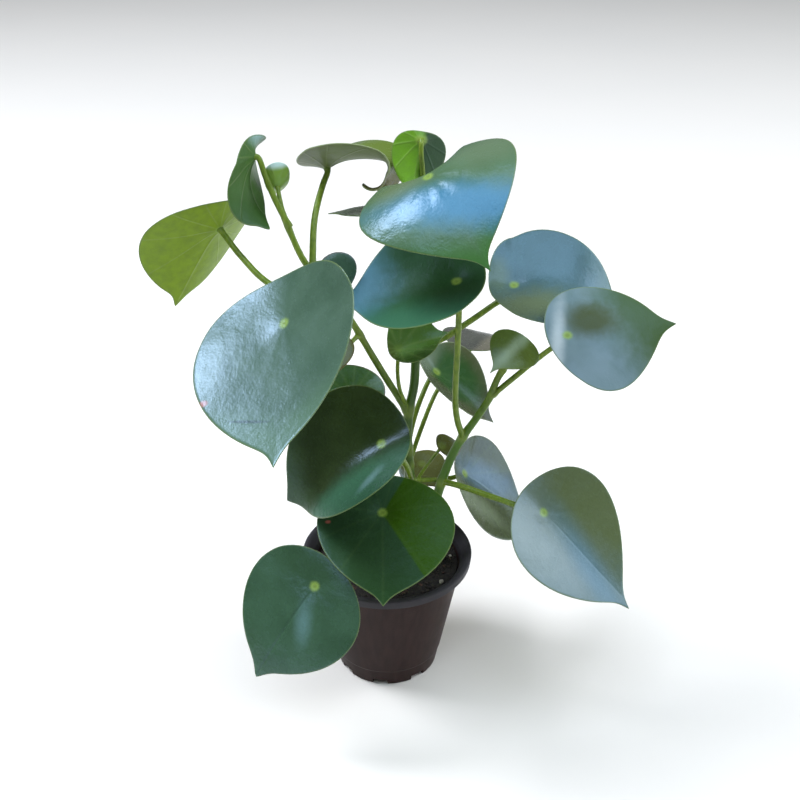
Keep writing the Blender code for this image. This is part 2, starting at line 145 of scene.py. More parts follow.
def rounded(corners):
    """An outline through (radius, height, rounding) corners, each turned on an arc."""
    outline = []
    for index, (radius, height, rounding) in enumerate(corners):
        here = Vector((radius, height))
        if rounding == 0:
            outline.append(here)
            continue
        before = Vector(corners[index - 1][:2])
        after = Vector(corners[index + 1][:2])
        start = here + (before - here).normalized() * rounding
        end = here + (after - here).normalized() * rounding
        for step in range(CORNER_STEPS + 1):
            t = step / CORNER_STEPS
            outline.append(start * (1 - t) ** 2 + here * 2 * t * (1 - t) + end * t * t)
    return outline


def finished(obj):
    """Turn an object's evaluated shape into its plain mesh and drop its modifiers."""
    bpy.context.view_layer.update()
    shape = obj.evaluated_get(bpy.context.evaluated_depsgraph_get())
    mesh = bpy.data.meshes.new_from_object(shape)
    mesh.name = obj.name
    obj.modifiers.clear()
    obj.data = mesh
    return obj


def new_tree(name, kind, takes, gives):
    """A node tree with named inputs and outputs, and its two end nodes."""
    tree = bpy.data.node_groups.new(name, kind)
    for label, sort, value in takes:
        socket = tree.interface.new_socket(label, in_out="INPUT", socket_type=sort)
        if value is not None:
            socket.default_value = value
    for label, sort in gives:
        tree.interface.new_socket(label, in_out="OUTPUT", socket_type=sort)
    return tree, tree.nodes.new("NodeGroupInput"), tree.nodes.new("NodeGroupOutput")


def placed(tree, kind, settings=None, **values):
    """A node with its settings, and with its sockets set or linked by name."""
    node = tree.nodes.new(kind)
    for label, value in (settings or {}).items():
        setattr(node, label, value)
    for label, value in values.items():
        fill(tree, node.inputs[label.replace("_", " ")], value)
    return node


def live(sockets, name=None):
    """The socket in use, where a node has one of a name for each kind of value."""
    return next(socket for socket in sockets if socket.enabled and name in (None, socket.name))


def fill(tree, socket, value):
    """Link a socket to another node's socket, or set it."""
    if isinstance(value, Measure):
        value = value.socket
    if isinstance(value, bpy.types.NodeSocket):
        tree.links.new(value, socket)
    else:
        socket.default_value = value


class Measure:
    """A number that a node tree works out at each point, written as arithmetic."""

    def __init__(self, tree, socket):
        self.tree = tree
        self.socket = socket

    def work(self, operation, *values):
        node = self.tree.nodes.new("ShaderNodeMath")
        node.operation = operation
        for slot, value in zip(node.inputs, values):
            fill(self.tree, slot, value)
        return Measure(self.tree, node.outputs[0])

    def __add__(self, other):
        return self.work("ADD", self, other)

    def __radd__(self, other):
        return self.work("ADD", other, self)

    def __sub__(self, other):
        return self.work("SUBTRACT", self, other)

    def __rsub__(self, other):
        return self.work("SUBTRACT", other, self)

    def __mul__(self, other):
        return self.work("MULTIPLY", self, other)

    def __rmul__(self, other):
        return self.work("MULTIPLY", other, self)

    def __truediv__(self, other):
        return self.work("DIVIDE", self, other)

    def __pow__(self, other):
        return self.work("POWER", self, other)

    def sin(self):
        return self.work("SINE", self)

    def cos(self):
        return self.work("COSINE", self)

    def root(self):
        return self.work("SQRT", self)

    def least(self, other):
        return self.work("MINIMUM", self, other)

    def most(self, other):
        return self.work("MAXIMUM", self, other)

    def over(self, other):
        return self.work("GREATER_THAN", self, other)

    def hump(self, reach):
        """1 at nought, falling to nothing beyond the reach, as a bell does."""
        share = self / reach
        return self.work("POWER", exp(1.0), share * share * -1.0)

    def ramp(self, low, high):
        """0 up to low, 1 from high, and a smooth rise between them."""
        node = self.tree.nodes.new("ShaderNodeMapRange")
        node.interpolation_type = "SMOOTHSTEP"
        fill(self.tree, node.inputs["Value"], self)
        fill(self.tree, node.inputs["From Min"], low)
        fill(self.tree, node.inputs["From Max"], high)
        return Measure(self.tree, node.outputs["Result"])


def split(tree, vector):
    """The three parts of a vector."""
    node = placed(tree, "ShaderNodeSeparateXYZ", Vector=vector)
    return tuple(Measure(tree, node.outputs[axis]) for axis in "XYZ")


def joined(tree, x, y, z):
    """A vector made of three numbers."""
    return placed(tree, "ShaderNodeCombineXYZ", X=x, Y=y, Z=z).outputs["Vector"]


def own_place(tree):
    """The place of each point that a geometry tree works on."""
    return placed(tree, "GeometryNodeInputPosition").outputs["Position"]


def closed_skin(tree, shape):
    """A shape with its doubled points merged and its faces shaded smooth."""
    merged = placed(tree, "GeometryNodeMergeByDistance", Geometry=shape, Distance=MERGE_REACH)
    smooth = placed(tree, "GeometryNodeSetShadeSmooth", Geometry=merged.outputs["Geometry"])
    return smooth.outputs["Geometry"]


def hand_out(tree, shape, taking, giving):
    """The end of a geometry tree: its shape wears the finish and goes out."""
    painted = placed(tree, "GeometryNodeSetMaterial", Geometry=shape,
                     Material=taking.outputs["Finish"])
    tree.links.new(painted.outputs["Geometry"], giving.inputs[0])


def run_tree(obj, tree, **values):
    """Run a geometry tree on an object with its inputs set, and keep the result."""
    modifier = obj.modifiers.new(tree.name, "NODES")
    modifier.node_group = tree
    sockets = {item.name: item.identifier for item in tree.interface.items_tree
               if item.item_type == "SOCKET" and item.in_out == "INPUT"}
    for label, value in values.items():
        modifier[sockets[label.replace("_", " ")]] = value
    return finished(obj)


def turned(name, outline, turns):
    """A solid of revolution round the pot's axis."""
    mesh = bpy.data.meshes.new(name)
    edges = [(index, index + 1) for index in range(len(outline) - 1)]
    mesh.from_pydata([(r * MM, 0.0, z * MM) for r, z in outline], edges, [])
    obj = bpy.data.objects.new(name, mesh)
    scene.collection.objects.link(obj)
    screw = obj.modifiers.new("turn", "SCREW")
    screw.steps = turns
    screw.render_steps = turns
    screw.use_merge_vertices = True
    screw.merge_threshold = 0.00001
    return finished(obj)


wall_top = POT_BASE_RADIUS + POT_TAPER * LIP_FOOT
inner_foot = POT_BASE_RADIUS + POT_TAPER * POT_FLOOR - POT_WALL
inner_top = POT_BASE_RADIUS + POT_TAPER * (LIP_FOOT + 1.0) - POT_WALL
# Up the inside first, over the lip, and down the outside from under it.
pot = turned("nursery_pot", rounded([
    (0, POT_FLOOR, 0),
    (inner_foot, POT_FLOOR, 1.2),
    (inner_top, LIP_FOOT + 1.0, 0.8),
    (POT_RIM_RADIUS - 3.5, POT_HEIGHT - 0.2, 1.2),
    (POT_RIM_RADIUS - 2.0, POT_HEIGHT + 0.3, 0.9),
    (POT_RIM_RADIUS + 0.15, POT_HEIGHT - 0.5, 1.1),
    (POT_RIM_RADIUS - 0.5, LIP_FOOT, 0.35),
    (POT_RIM_RADIUS - 1.7, LIP_FOOT, 0.35),
    (POT_RIM_RADIUS - 1.5, POT_HEIGHT - 2.1, 0.5),
    (wall_top + 2.6, POT_HEIGHT - 2.4, 0.8),
    (wall_top + 0.1, LIP_FOOT, 1.2),
    (POT_BASE_RADIUS + POT_TAPER * FOOT_LINE + 0.25, FOOT_LINE, 0.6),
    (POT_BASE_RADIUS + POT_TAPER * (FOOT_LINE - 1.0) - 0.15, FOOT_LINE - 0.8, 0.5),
    (POT_BASE_RADIUS, 0, 1.2),
    (POT_BASE_RADIUS - 6, 0, 0.5),
    (0, 0.0, 0),
]), POT_TURNS)

notches, taking, giving = new_tree("Drain notches", "GeometryNodeTree", [
    ("Pot", "NodeSocketGeometry", None),
    ("Count", "NodeSocketInt", 8),
    ("First angle", "NodeSocketFloat", 0.0),
    ("Ring radius", "NodeSocketFloat", 0.0),
    ("Notch", "NodeSocketVector", (0.0, 0.0, 0.0)),
    ("Finish", "NodeSocketMaterial", None),
], [("Pot", "NodeSocketGeometry")])
ring = placed(notches, "GeometryNodeCurvePrimitiveCircle",
              Resolution=taking.outputs["Count"], Radius=taking.outputs["Ring radius"])
spots = placed(notches, "GeometryNodeCurveToPoints", {"mode": "EVALUATED"},
               Curve=ring.outputs["Curve"])
stamp = placed(notches, "GeometryNodeMeshCube", Size=taking.outputs["Notch"])
aimed = placed(notches, "FunctionNodeAlignRotationToVector", {"axis": "X"},
               Vector=own_place(notches))
stamps = placed(notches, "GeometryNodeInstanceOnPoints", Points=spots.outputs["Points"],
                Instance=stamp.outputs["Mesh"], Rotation=aimed.outputs["Rotation"])
swung = placed(notches, "GeometryNodeTransform", Geometry=stamps.outputs["Instances"],
               Rotation=joined(notches, 0.0, 0.0, taking.outputs["First angle"]))
solid = placed(notches, "GeometryNodeRealizeInstances", Geometry=swung.outputs["Geometry"])
cut = placed(notches, "GeometryNodeMeshBoolean", {"operation": "DIFFERENCE", "solver": "EXACT"},
             Mesh_1=taking.outputs["Pot"], Mesh_2=solid.outputs["Geometry"])
hand_out(notches, cut.outputs["Mesh"], taking, giving)


def new_finish(name):
    """A material with its tree and its Principled shader."""
    material = bpy.data.materials.new(name)
    material.use_nodes = True
    tree = material.node_tree
    return material, tree, tree.nodes["Principled BSDF"]


def mixed(tree, share, first, second):
    """The colour between two others, by a share from 0 to 1."""
    node = tree.nodes.new("ShaderNodeMix")
    node.data_type = "RGBA"
    fill(tree, node.inputs["Factor"], share)
    for label, value in (("A", first), ("B", second)):
        socket = next(s for s in node.inputs if s.name == label and s.type == "RGBA")
        if isinstance(value, tuple):
            value = (*value, 1.0)
        fill(tree, socket, value)
    return next(s for s in node.outputs if s.type == "RGBA")


def cloud(tree, vector, scale, detail=2.0, roughness=0.5):
    """Soft noise from 0 to 1 about places in a pattern."""
    node = placed(tree, "ShaderNodeTexNoise", Vector=vector, Scale=scale, Detail=detail,
                  Roughness=roughness)
    return Measure(tree, node.outputs["Fac"])


def dress(tree, shader, color, roughness, height):
    """Give a shader its colour, its roughness and its fine relief."""
    bump = placed(tree, "ShaderNodeBump", Distance=MM, Height=height)
    for label, value in (("Base Color", color), ("Roughness", roughness),
                         ("Normal", bump.outputs["Normal"])):
        fill(tree, shader.inputs[label], value)


pot_finish, pot_tree, pot_shader = new_finish("pot_plastic")
pot_place = pot_tree.nodes.new("ShaderNodeTexCoord").outputs["Object"]
pot_height = split(pot_tree, pot_place)[2] / MM
streak_place = placed(pot_tree, "ShaderNodeMapping", Vector=pot_place)
streak_place.inputs["Scale"].default_value = (1.0, 1.0, 0.12)
streaks = cloud(pot_tree, streak_place.outputs["Vector"], 260.0, 3.0)
grime = cloud(pot_tree, pot_place, 70.0, 5.0, 0.6)
plastic = mixed(pot_tree, streaks.ramp(0.3, 0.7), *POT_BROWNS)
dusty = grime.ramp(0.52, 0.75) * (0.25 + pot_height.ramp(60.0, POT_HEIGHT) * 0.35)
plastic = mixed(pot_tree, dusty, plastic, POT_DUST)
# Painted sheen: above the lip foot the brown plastic is painted grey-blue, as the light the lip
# and rim reflect.
lip_sheen_band = pot_height.ramp(LIP_FOOT - 3.5, LIP_FOOT - 1.5) * 0.65
plastic = mixed(pot_tree, lip_sheen_band, plastic, LIP_SHEEN_GREY)
pot_relief = cloud(pot_tree, pot_place, 900.0, 2.0) * 0.05 + streaks * 0.03
dress(pot_tree, pot_shader, plastic, 0.38 + grime * 0.2, pot_relief)
pot_shader.inputs["Specular IOR Level"].default_value = 0.15

pot.data.shade_smooth()
run_tree(pot, notches, Count=NOTCHES, First_angle=radians(FIRST_NOTCH),
         Ring_radius=POT_BASE_RADIUS * MM, Notch=tuple(side * MM for side in NOTCH_SIZE),
         Finish=pot_finish)
pot.data.set_sharp_from_angle(angle=radians(POT_SHARP))
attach(pot, "root")
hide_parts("pot")


# Soil
# Moist black potting compost fills the pot to under the lip. It is sieved peat with
# bark, fibre and a few white grains of perlite, and it lies loose on top.
SOIL_LEVEL = 78.0
SOIL_EDGE_DROP = 2.5
SOIL_RINGS = 44
SOIL_TURNS = 150
LUMP_HEIGHT = 0.8
CLOD_HEIGHT = 1.1
CLOD_SCALE = 0.16
SOIL_CROWN = 0.0008
SOIL_GAP = 0.5
SOIL_FOOT_GAP = 1.3
LITTER_GAP = 0.6
LITTER_GROUND = 0.6
LITTER_TILT = 0.5
LITTER_TURN = 6.28
CRUMPLE = 1.6
CRUMPLE_SCALE = 900.0


def soil_height(x, y):
    """The height of the compost, with the lumps of the solid and finer ones."""
    lump = sin(x * 0.31 + 1.0) * sin(y * 0.37) + 0.6 * sin(x * 0.12 - y * 0.21)
    height = SOIL_LEVEL + LUMP_HEIGHT * lump - SOIL_CROWN * (x * x + y * y)
    height += CLOD_HEIGHT * noise.fractal(Vector((x, y, 3.0)) * CLOD_SCALE, 0.8, 2.0, 5)
    return height


soil_edge = SOIL_LEVEL - SOIL_EDGE_DROP
soil_reach = POT_BASE_RADIUS + POT_TAPER * soil_edge - POT_WALL - SOIL_GAP
soil_foot_reach = POT_BASE_RADIUS + POT_TAPER * POT_FLOOR - POT_WALL - SOIL_FOOT_GAP
soil_foot = (POT_FLOOR + 0.1) * MM
soil_points = [(0.0, 0.0, soil_height(0.0, 0.0) * MM)]
soil_faces = []
for ring_count in range(1, SOIL_RINGS + 1):
    reach = soil_reach * ring_count / SOIL_RINGS
    for turn_count in range(SOIL_TURNS):
        angle = 2 * pi * turn_count / SOIL_TURNS
        x, y = reach * cos(angle), reach * sin(angle)
        soil_points.append((x * MM, y * MM, soil_height(x, y) * MM))
for turn_count in range(SOIL_TURNS):
    angle = 2 * pi * turn_count / SOIL_TURNS
    x, y = soil_foot_reach * cos(angle), soil_foot_reach * sin(angle)
    soil_points.append((x * MM, y * MM, soil_foot))
soil_points.append((0.0, 0.0, soil_foot))
for turn_count in range(SOIL_TURNS):
    beside = (turn_count + 1) % SOIL_TURNS
    soil_faces.append((0, 1 + turn_count, 1 + beside))
    for ring_count in range(SOIL_RINGS):
        inner = 1 + ring_count * SOIL_TURNS
        outer = inner + SOIL_TURNS
        soil_faces.append((inner + turn_count, outer + turn_count, outer + beside, inner + beside))
    last = 1 + SOIL_RINGS * SOIL_TURNS
    soil_faces.append((last + beside, last + turn_count, len(soil_points) - 1))
soil_mesh = bpy.data.meshes.new("soil")
soil_mesh.from_pydata(soil_points, [], soil_faces)
soil_mesh.shade_smooth()
soil = bpy.data.objects.new("potting_compost", soil_mesh)
scene.collection.objects.link(soil)


def compost(name, dark, light, roughness):
    """A crumbly matt finish between two colours."""
    material, tree, shader = new_finish(name)
    place = tree.nodes.new("ShaderNodeTexCoord").outputs["Object"]
    coarse = cloud(tree, place, 330.0, 6.0, 0.65)
    fine = cloud(tree, place, 1500.0, 3.0, 0.6)
    dress(tree, shader, mixed(tree, coarse.ramp(0.35, 0.72), dark, light),
          roughness + fine * 0.15, coarse * 1.1 + fine * 0.35)
    return material


soil.data.materials.append(compost("potting_compost", (0.003, 0.0022, 0.0018),
                                   (0.019, 0.013, 0.009), 0.75))
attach(soil, "root")
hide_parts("soil")

litter, taking, giving = new_tree("Loose litter", "GeometryNodeTree", [
    ("Ground", "NodeSocketGeometry", None),
    ("Density", "NodeSocketFloat", 0.0),
    ("Reach", "NodeSocketFloat", 0.0),
    ("Smallest", "NodeSocketFloat", 0.0),
    ("Largest", "NodeSocketFloat", 0.0),
    ("Shape", "NodeSocketVector", (1.0, 1.0, 1.0)),
    ("Seed", "NodeSocketInt", 0),
    ("Finish", "NodeSocketMaterial", None),
], [("Litter", "NodeSocketGeometry")])
ground_normal = placed(litter, "GeometryNodeInputNormal").outputs["Normal"]
ground_up = split(litter, ground_normal)[2]
ground_x, ground_y, _ = split(litter, own_place(litter))
off_middle = (ground_x * ground_x + ground_y * ground_y).root()
inside_wall = 1.0 - off_middle.over(taking.outputs["Reach"])
strewn = placed(litter, "GeometryNodeDistributePointsOnFaces", Mesh=taking.outputs["Ground"],
                Density=taking.outputs["Density"], Seed=taking.outputs["Seed"],
                Selection=ground_up.over(LITTER_GROUND) * inside_wall)
grain = placed(litter, "GeometryNodeMeshIcoSphere", Radius=1.0, Subdivisions=2)
grain_shape = placed(litter, "GeometryNodeTransform", Geometry=grain.outputs["Mesh"],
                     Scale=taking.outputs["Shape"])
lie = placed(litter, "FunctionNodeRandomValue", {"data_type": "FLOAT_VECTOR"},
             Seed=taking.outputs["Seed"])
lie.inputs["Min"].default_value = (-LITTER_TILT, -LITTER_TILT, 0.0)
lie.inputs["Max"].default_value = (LITTER_TILT, LITTER_TILT, LITTER_TURN)
spread_size = placed(litter, "FunctionNodeRandomValue", {"data_type": "FLOAT"})
for label, given in (("Min", "Smallest"), ("Max", "Largest"), ("Seed", "Seed")):
    fill(litter, live(spread_size.inputs, label), taking.outputs[given])
grains = placed(litter, "GeometryNodeInstanceOnPoints", Points=strewn.outputs["Points"],
                Instance=grain_shape.outputs["Geometry"], Scale=live(spread_size.outputs),
                Rotation=live(lie.outputs))
loose = placed(litter, "GeometryNodeRealizeInstances", Geometry=grains.outputs["Instances"])
crumple = placed(litter, "ShaderNodeTexNoise", Vector=own_place(litter),
                 Scale=CRUMPLE_SCALE, Detail=2.0)
crumple_shift = placed(litter, "ShaderNodeVectorMath", {"operation": "MULTIPLY_ADD"})
for socket, value in zip(crumple_shift.inputs, (
        crumple.outputs["Color"], (CRUMPLE * MM,) * 3, (CRUMPLE * MM * -0.5,) * 3)):
    fill(litter, socket, value)
crumpled = placed(litter, "GeometryNodeSetPosition", Geometry=loose.outputs["Geometry"],
                  Offset=crumple_shift.outputs["Vector"])
hand_out(litter, crumpled.outputs["Geometry"], taking, giving)


def strew(name, density, smallest, largest, shape, seed, finish):
    """Loose pieces that lie over the compost."""
    obj = bpy.data.objects.new(name, soil.data.copy())
    scene.collection.objects.link(obj)
    clear_reach = soil_reach - largest * max(shape) - LITTER_GAP
    run_tree(obj, litter, Density=density, Reach=clear_reach * MM, Smallest=smallest * MM,
             Largest=largest * MM, Shape=shape, Seed=seed, Finish=finish)
    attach(obj, "root")


strew("compost_crumbs", 90000.0, 0.5, 1.5, (1.0, 0.8, 0.6), 4,
      compost("crumbs", (0.006, 0.004, 0.003), (0.032, 0.021, 0.014), 0.7))
strew("bark_bits", 9000.0, 1.0, 2.6, (1.3, 0.45, 0.25), 9,
      compost("bark", (0.03, 0.014, 0.008), (0.10, 0.045, 0.025), 0.6))
strew("perlite_grains", 2400.0, 0.8, 2.0, (1.0, 0.9, 0.75), 15,
      compost("perlite", (0.16, 0.14, 0.11), (0.46, 0.43, 0.37), 0.7))


# Leaf blades, and first those tinted bluish by painted sky sheen
# A blade is a fleshy plate under a waxy skin, grown as one piece. Nerves run out from
# the dimple where the stalk joins, and the thin margin stays pale. The drawn-out tip is
# painted with the light that shines through it, and on some blades with a reflection.

# Half the plate over the stalk and at its margin, and the rows of a large blade's mesh.
BLADE_HALF = 0.42
RIM_HALF = 0.28
RIM_ROWS = 4
TOP_ROWS = 40
UNDER_ROWS = 22
SPOKES = 120
SPOKE_GATHER = 0.7
LARGE_BLADE = 55
SMALL_BLADE = 33
# The rib under the blade: its heel round the stalk, and the midrib that fades out.
HEEL_REACH, HEEL_DEPTH = 3.6, 0.9
MIDRIB_REACH, MIDRIB_DEPTH = 1.2, 0.4
STALK_INSET = 0.25
TANGENT_STEP = 0.25
NERVES = 11
NERVE_START = 11.0
CREASE_REACH = 0.9
PUCKER_SCALE = 0.13
FOLD_LOSS = 2.9
NAPE_REACH = 13.0
ROLL_SHARES = (0.44, 0.60)
# Five places and weights that add up the midrib's lean on the way to a point.
GAUSS_POINTS = ((0.0, 0.5688889), (0.5384693, 0.4786287), (-0.5384693, 0.4786287),
                (0.9061798, 0.2369269), (-0.9061798, 0.2369269))
# Arch bends the midrib evenly, Curl more towards the tip, Tip roll only at the tip and
# Nape behind the stalk. Fold lifts both halves, and Twist one half against the other.
FORM_SIZES = ("Length", "Width", "Across bend", "Arch", "Curl", "Tip roll", "Nape", "Fold",
              "Base fold", "Softness", "Twist", "Base lift", "Dimple", "Dimple reach", "Ripple",
              "Wave", "Wave start", "Crease", "Seed")

form, taking, giving = new_tree("Blade form", "GeometryNodeTree", [
    ("Across", "NodeSocketFloat", 0.0),
    ("Along", "NodeSocketFloat", 0.0),
    *[(label, "NodeSocketFloat", 0.0) for label in FORM_SIZES],
], [("Place", "NodeSocketVector")])
size = {socket.name: Measure(form, socket) for socket in taking.outputs if socket.name}
across, along = size["Across"], size["Along"]
round_radius = size["Width"] / size["Across bend"]
side_place = round_radius * (across / round_radius).sin()
rise_place = round_radius * ((across / round_radius).cos() - 1.0)
softness = size["Softness"]
fold_rise = (across * across + softness * softness).root() - softness
half_width = size["Width"] * 0.5
fold_edge = (half_width * half_width + softness * softness).root() - softness
back = (along / size["Length"]).least(0.0) * -4.0
fold_share = size["Fold"] + size["Base fold"] * back
rise_place += fold_share * fold_rise * (half_width - FOLD_LOSS) / fold_edge
rise_place += (size["Twist"] * along / size["Length"] + size["Base lift"] * back) * across
reach = (across * across + along * along).root()
heading = across.work("ARCTAN2", across, along)
outer = reach / size["Width"] * 2.0
nerve_beat = (heading * NERVES + (outer * 2.0 + size["Seed"]).sin() * 0.5).cos()
rise_place += size["Ripple"] * nerve_beat * (1.0 - reach.hump(NERVE_START))
rise_place += size["Wave"] * outer * outer * (heading * 3.0 + size["Wave start"]).sin()
past_stalk = (along / size["Length"]).ramp(0.02, 0.1)
rise_place -= size["Crease"] * across.hump(CREASE_REACH) * past_stalk
pucker = cloud(form, joined(form, across, along, size["Seed"] * 40.0), PUCKER_SCALE, 2.0)
rise_place += (pucker - 0.5) * size["Ripple"] * 3.0
nape = size["Nape"] * across.hump(NAPE_REACH) * 4.0


def lean_at(station):
    """How far the midrib leans over at a distance along it."""
    share = station / size["Length"]
    front = share.most(0.0)
    lean = size["Arch"] * share + size["Curl"] * front * front + nape * share.least(0.0)
    return lean + size["Tip roll"] * front.ramp(*ROLL_SHARES)


forward, drop = 0.0, 0.0
for offset, weight in GAUSS_POINTS:
    lean = lean_at(along * ((1.0 + offset) / 2.0))
    forward = lean.cos() * (weight / 2.0) + forward
    drop = drop - lean.sin() * (weight / 2.0)
lean = lean_at(along)
far_place = forward * along + rise_place * lean.sin()
up_place = drop * along + rise_place * lean.cos()
up_place += (1.0 - reach.hump(size["Dimple reach"])) * size["Dimple"]
form.links.new(joined(form, side_place, far_place, up_place), giving.inputs["Place"])

BLADE_SIZES = ("Base", "Full", "Breadth", "Slant", "Sweep", "Lop", "Point", "Tip spread")
blade_tree, taking, giving = new_tree("Leaf blade", "GeometryNodeTree", [
    ("Blank", "NodeSocketGeometry", None),
    ("Spokes", "NodeSocketInt", SPOKES),
    ("Top rows", "NodeSocketInt", TOP_ROWS),
    ("Under rows", "NodeSocketInt", UNDER_ROWS),
    *[(label, "NodeSocketFloat", 0.0) for label in FORM_SIZES + BLADE_SIZES],
    ("Stalk end", "NodeSocketVector", (0.0, 0.0, 0.0)),
    ("Upper side", "NodeSocketVector", (0.0, 0.0, 1.0)),
    ("Tip way", "NodeSocketVector", (0.0, 1.0, 0.0)),
    ("Finish", "NodeSocketMaterial", None),
], [("Blade", "NodeSocketGeometry")])
size = {socket.name: Measure(blade_tree, socket) for socket in taking.outputs if socket.name}
rows = size["Top rows"] + size["Under rows"] + RIM_ROWS
blank = placed(blade_tree, "GeometryNodeMeshGrid", Size_X=1.0, Size_Y=1.0,
               Vertices_X=size["Spokes"] + 1.0, Vertices_Y=rows + 1.0)
blank_x, blank_y, _ = split(blade_tree, own_place(blade_tree))
round_share = blank_x + 0.5
row = (blank_y + 0.5) * rows
round_angle = round_share * (2 * pi) - (round_share * (2 * pi)).sin() * SPOKE_GATHER
half = round_angle.least(2 * pi - round_angle).most(0.0)
side = 1.0 - round_angle.over(pi) * 2.0
breadth = half.sin() * (half * 0.5).sin().most(0.0) ** size["Full"] * size["Breadth"]
oval = size["Length"] - size["Point"]
edge_across = side * size["Width"] * 0.5 * breadth * (1.0 + size["Lop"] * side)
edge_along = oval * 0.5 * (half.cos() + 1.0) + size["Point"] * half.hump(size["Tip spread"])
edge_along = edge_along - size["Base"] * oval
edge_across += size["Sweep"] * edge_along.most(0.0) * edge_along.most(0.0) / oval
edge_along += size["Slant"] * edge_across
share = (row / size["Top rows"]).least((rows - row) / size["Under rows"]).least(1.0)
roll = ((row - size["Top rows"]) / RIM_ROWS).most(0.0).least(1.0) * pi
across, along = edge_across * share, edge_along * share
reach = (across * across + along * along).root()
edge_reach = (edge_across * edge_across + edge_along * edge_along).root()
under = (1.0 - roll.cos()) * 0.5
thick = BLADE_HALF - (BLADE_HALF - RIM_HALF) * share ** 8.0
rib = (reach.hump(HEEL_REACH) * HEEL_DEPTH
       + across.hump(MIDRIB_REACH) * (1.0 - share) * MIDRIB_DEPTH)
lift = thick * roll.cos() - under * rib
out = thick * roll.sin()


def form_at(across_place, along_place):
    """The blade's middle surface at a place on it."""
    node = blade_tree.nodes.new("GeometryNodeGroup")
    node.node_tree = form
    fill(blade_tree, node.inputs["Across"], across_place)
    fill(blade_tree, node.inputs["Along"], along_place)
    for label in FORM_SIZES:
        fill(blade_tree, node.inputs[label], size[label])
    return node.outputs["Place"]


def vector_work(tree, operation, *values, scale=None):
    """A vector worked out from others."""
    node = tree.nodes.new("ShaderNodeVectorMath")
    node.operation = operation
    for slot, value in zip(node.inputs, values):
        fill(tree, slot, value)
    if scale is not None:
        fill(tree, node.inputs["Scale"], scale)
    return node.outputs["Vector"]


middle = form_at(across, along)
to_side = vector_work(blade_tree, "SUBTRACT", form_at(across + TANGENT_STEP, along), middle)
to_tip = vector_work(blade_tree, "SUBTRACT", form_at(across, along + TANGENT_STEP), middle)
up_way = vector_work(blade_tree, "NORMALIZE",
                     vector_work(blade_tree, "CROSS_PRODUCT", to_side, to_tip))
out_way = vector_work(blade_tree, "NORMALIZE", vector_work(
    blade_tree, "ADD",
    vector_work(blade_tree, "SCALE", to_side, scale=edge_across),
    vector_work(blade_tree, "SCALE", to_tip, scale=edge_along)))
skin = vector_work(blade_tree, "ADD", middle, vector_work(
    blade_tree, "ADD",
    vector_work(blade_tree, "SCALE", up_way, scale=lift),
    vector_work(blade_tree, "SCALE", out_way, scale=out)))
hung = placed(blade_tree, "FunctionNodeAxesToRotation",
              {"primary_axis": "Z", "secondary_axis": "Y"},
              Primary_Axis=size["Upper side"], Secondary_Axis=size["Tip way"])
hung_skin = placed(blade_tree, "FunctionNodeRotateVector", Vector=skin,
                   Rotation=hung.outputs["Rotation"])
grown = vector_work(blade_tree, "SCALE", vector_work(
    blade_tree, "ADD", hung_skin.outputs["Vector"], size["Stalk end"]), scale=MM)
leaf_place = joined(blade_tree, across, along, (1.0 - share) * edge_reach)
noted = blank.outputs["Mesh"]
for label, kind, value in (("leaf_place", "FLOAT_VECTOR", leaf_place),
                           ("leaf_under", "FLOAT", under)):
    note = placed(blade_tree, "GeometryNodeStoreNamedAttribute",
                  {"data_type": kind, "domain": "POINT"}, Geometry=noted, Name=label)
    fill(blade_tree, live(note.inputs, "Value"), value)
    noted = note.outputs["Geometry"]
shaped = placed(blade_tree, "GeometryNodeSetPosition", Geometry=noted, Position=grown)
hand_out(blade_tree, closed_skin(blade_tree, shaped.outputs["Geometry"]), taking, giving)

PATCHES = ("First", "Second", "Third")
NERVE_TINT = (0.34, 0.40, 0.16)
VEIN_TINT = (0.20, 0.30, 0.10)
EYE_TINT = (0.24, 0.36, 0.06)
PUPIL_TINT = (0.07, 0.10, 0.015)
EYE_REACH = (2.2, 5.0)
PUPIL_REACH = (0.6, 1.8)
MARGIN_REACH = (0.1, 0.6)
TIP_REACH = (26.0, 62.0)
UNDER_EDGE = (0.45, 0.6)


def noted_on_mesh(tree, label, kind):
    """What a geometry tree has stored on a mesh, for its finish."""
    return placed(tree, "ShaderNodeAttribute",
                  {"attribute_type": "GEOMETRY", "attribute_name": label}).outputs[kind]


skin_group, taking, giving = new_tree("Leaf skin", "ShaderNodeTree", [
    ("Deep", "NodeSocketColor", (0.02, 0.05, 0.02, 1.0)),
    ("Light", "NodeSocketColor", (0.06, 0.14, 0.05, 1.0)),
    ("Wax and sheen", "NodeSocketColor", (0.10, 0.18, 0.20, 1.0)),
    ("Underside", "NodeSocketColor", (0.16, 0.24, 0.05, 1.0)),
    ("Tip", "NodeSocketColor", (0.08, 0.18, 0.03, 1.0)),
    ("Margin", "NodeSocketColor", (0.13, 0.18, 0.05, 1.0)),
    *[(f"{count} {label}", sort, value) for count in PATCHES for label, sort, value in (
        ("patch", "NodeSocketColor", (0.0, 0.0, 0.0, 1.0)),
        ("place", "NodeSocketVector", (0.0, 0.0, 0.0)),
        ("reach", "NodeSocketVector", (1.0, 1.0, 0.3)),
        ("corners", "NodeSocketFloat", 0.0),
        ("share", "NodeSocketFloat", 0.0))],
    ("Both sides", "NodeSocketFloat", 0.0),
    ("Eye", "NodeSocketFloat", 1.0),
    ("Veins", "NodeSocketFloat", 0.0),
    ("Matt", "NodeSocketFloat", 0.0),
    ("Wax and sheen share", "NodeSocketFloat", 0.5),
    ("Pebble", "NodeSocketFloat", 1.0),
    ("Seed", "NodeSocketFloat", 0.0),
], [("Color", "NodeSocketColor"), ("Roughness", "NodeSocketFloat"),
    ("Height", "NodeSocketFloat")])
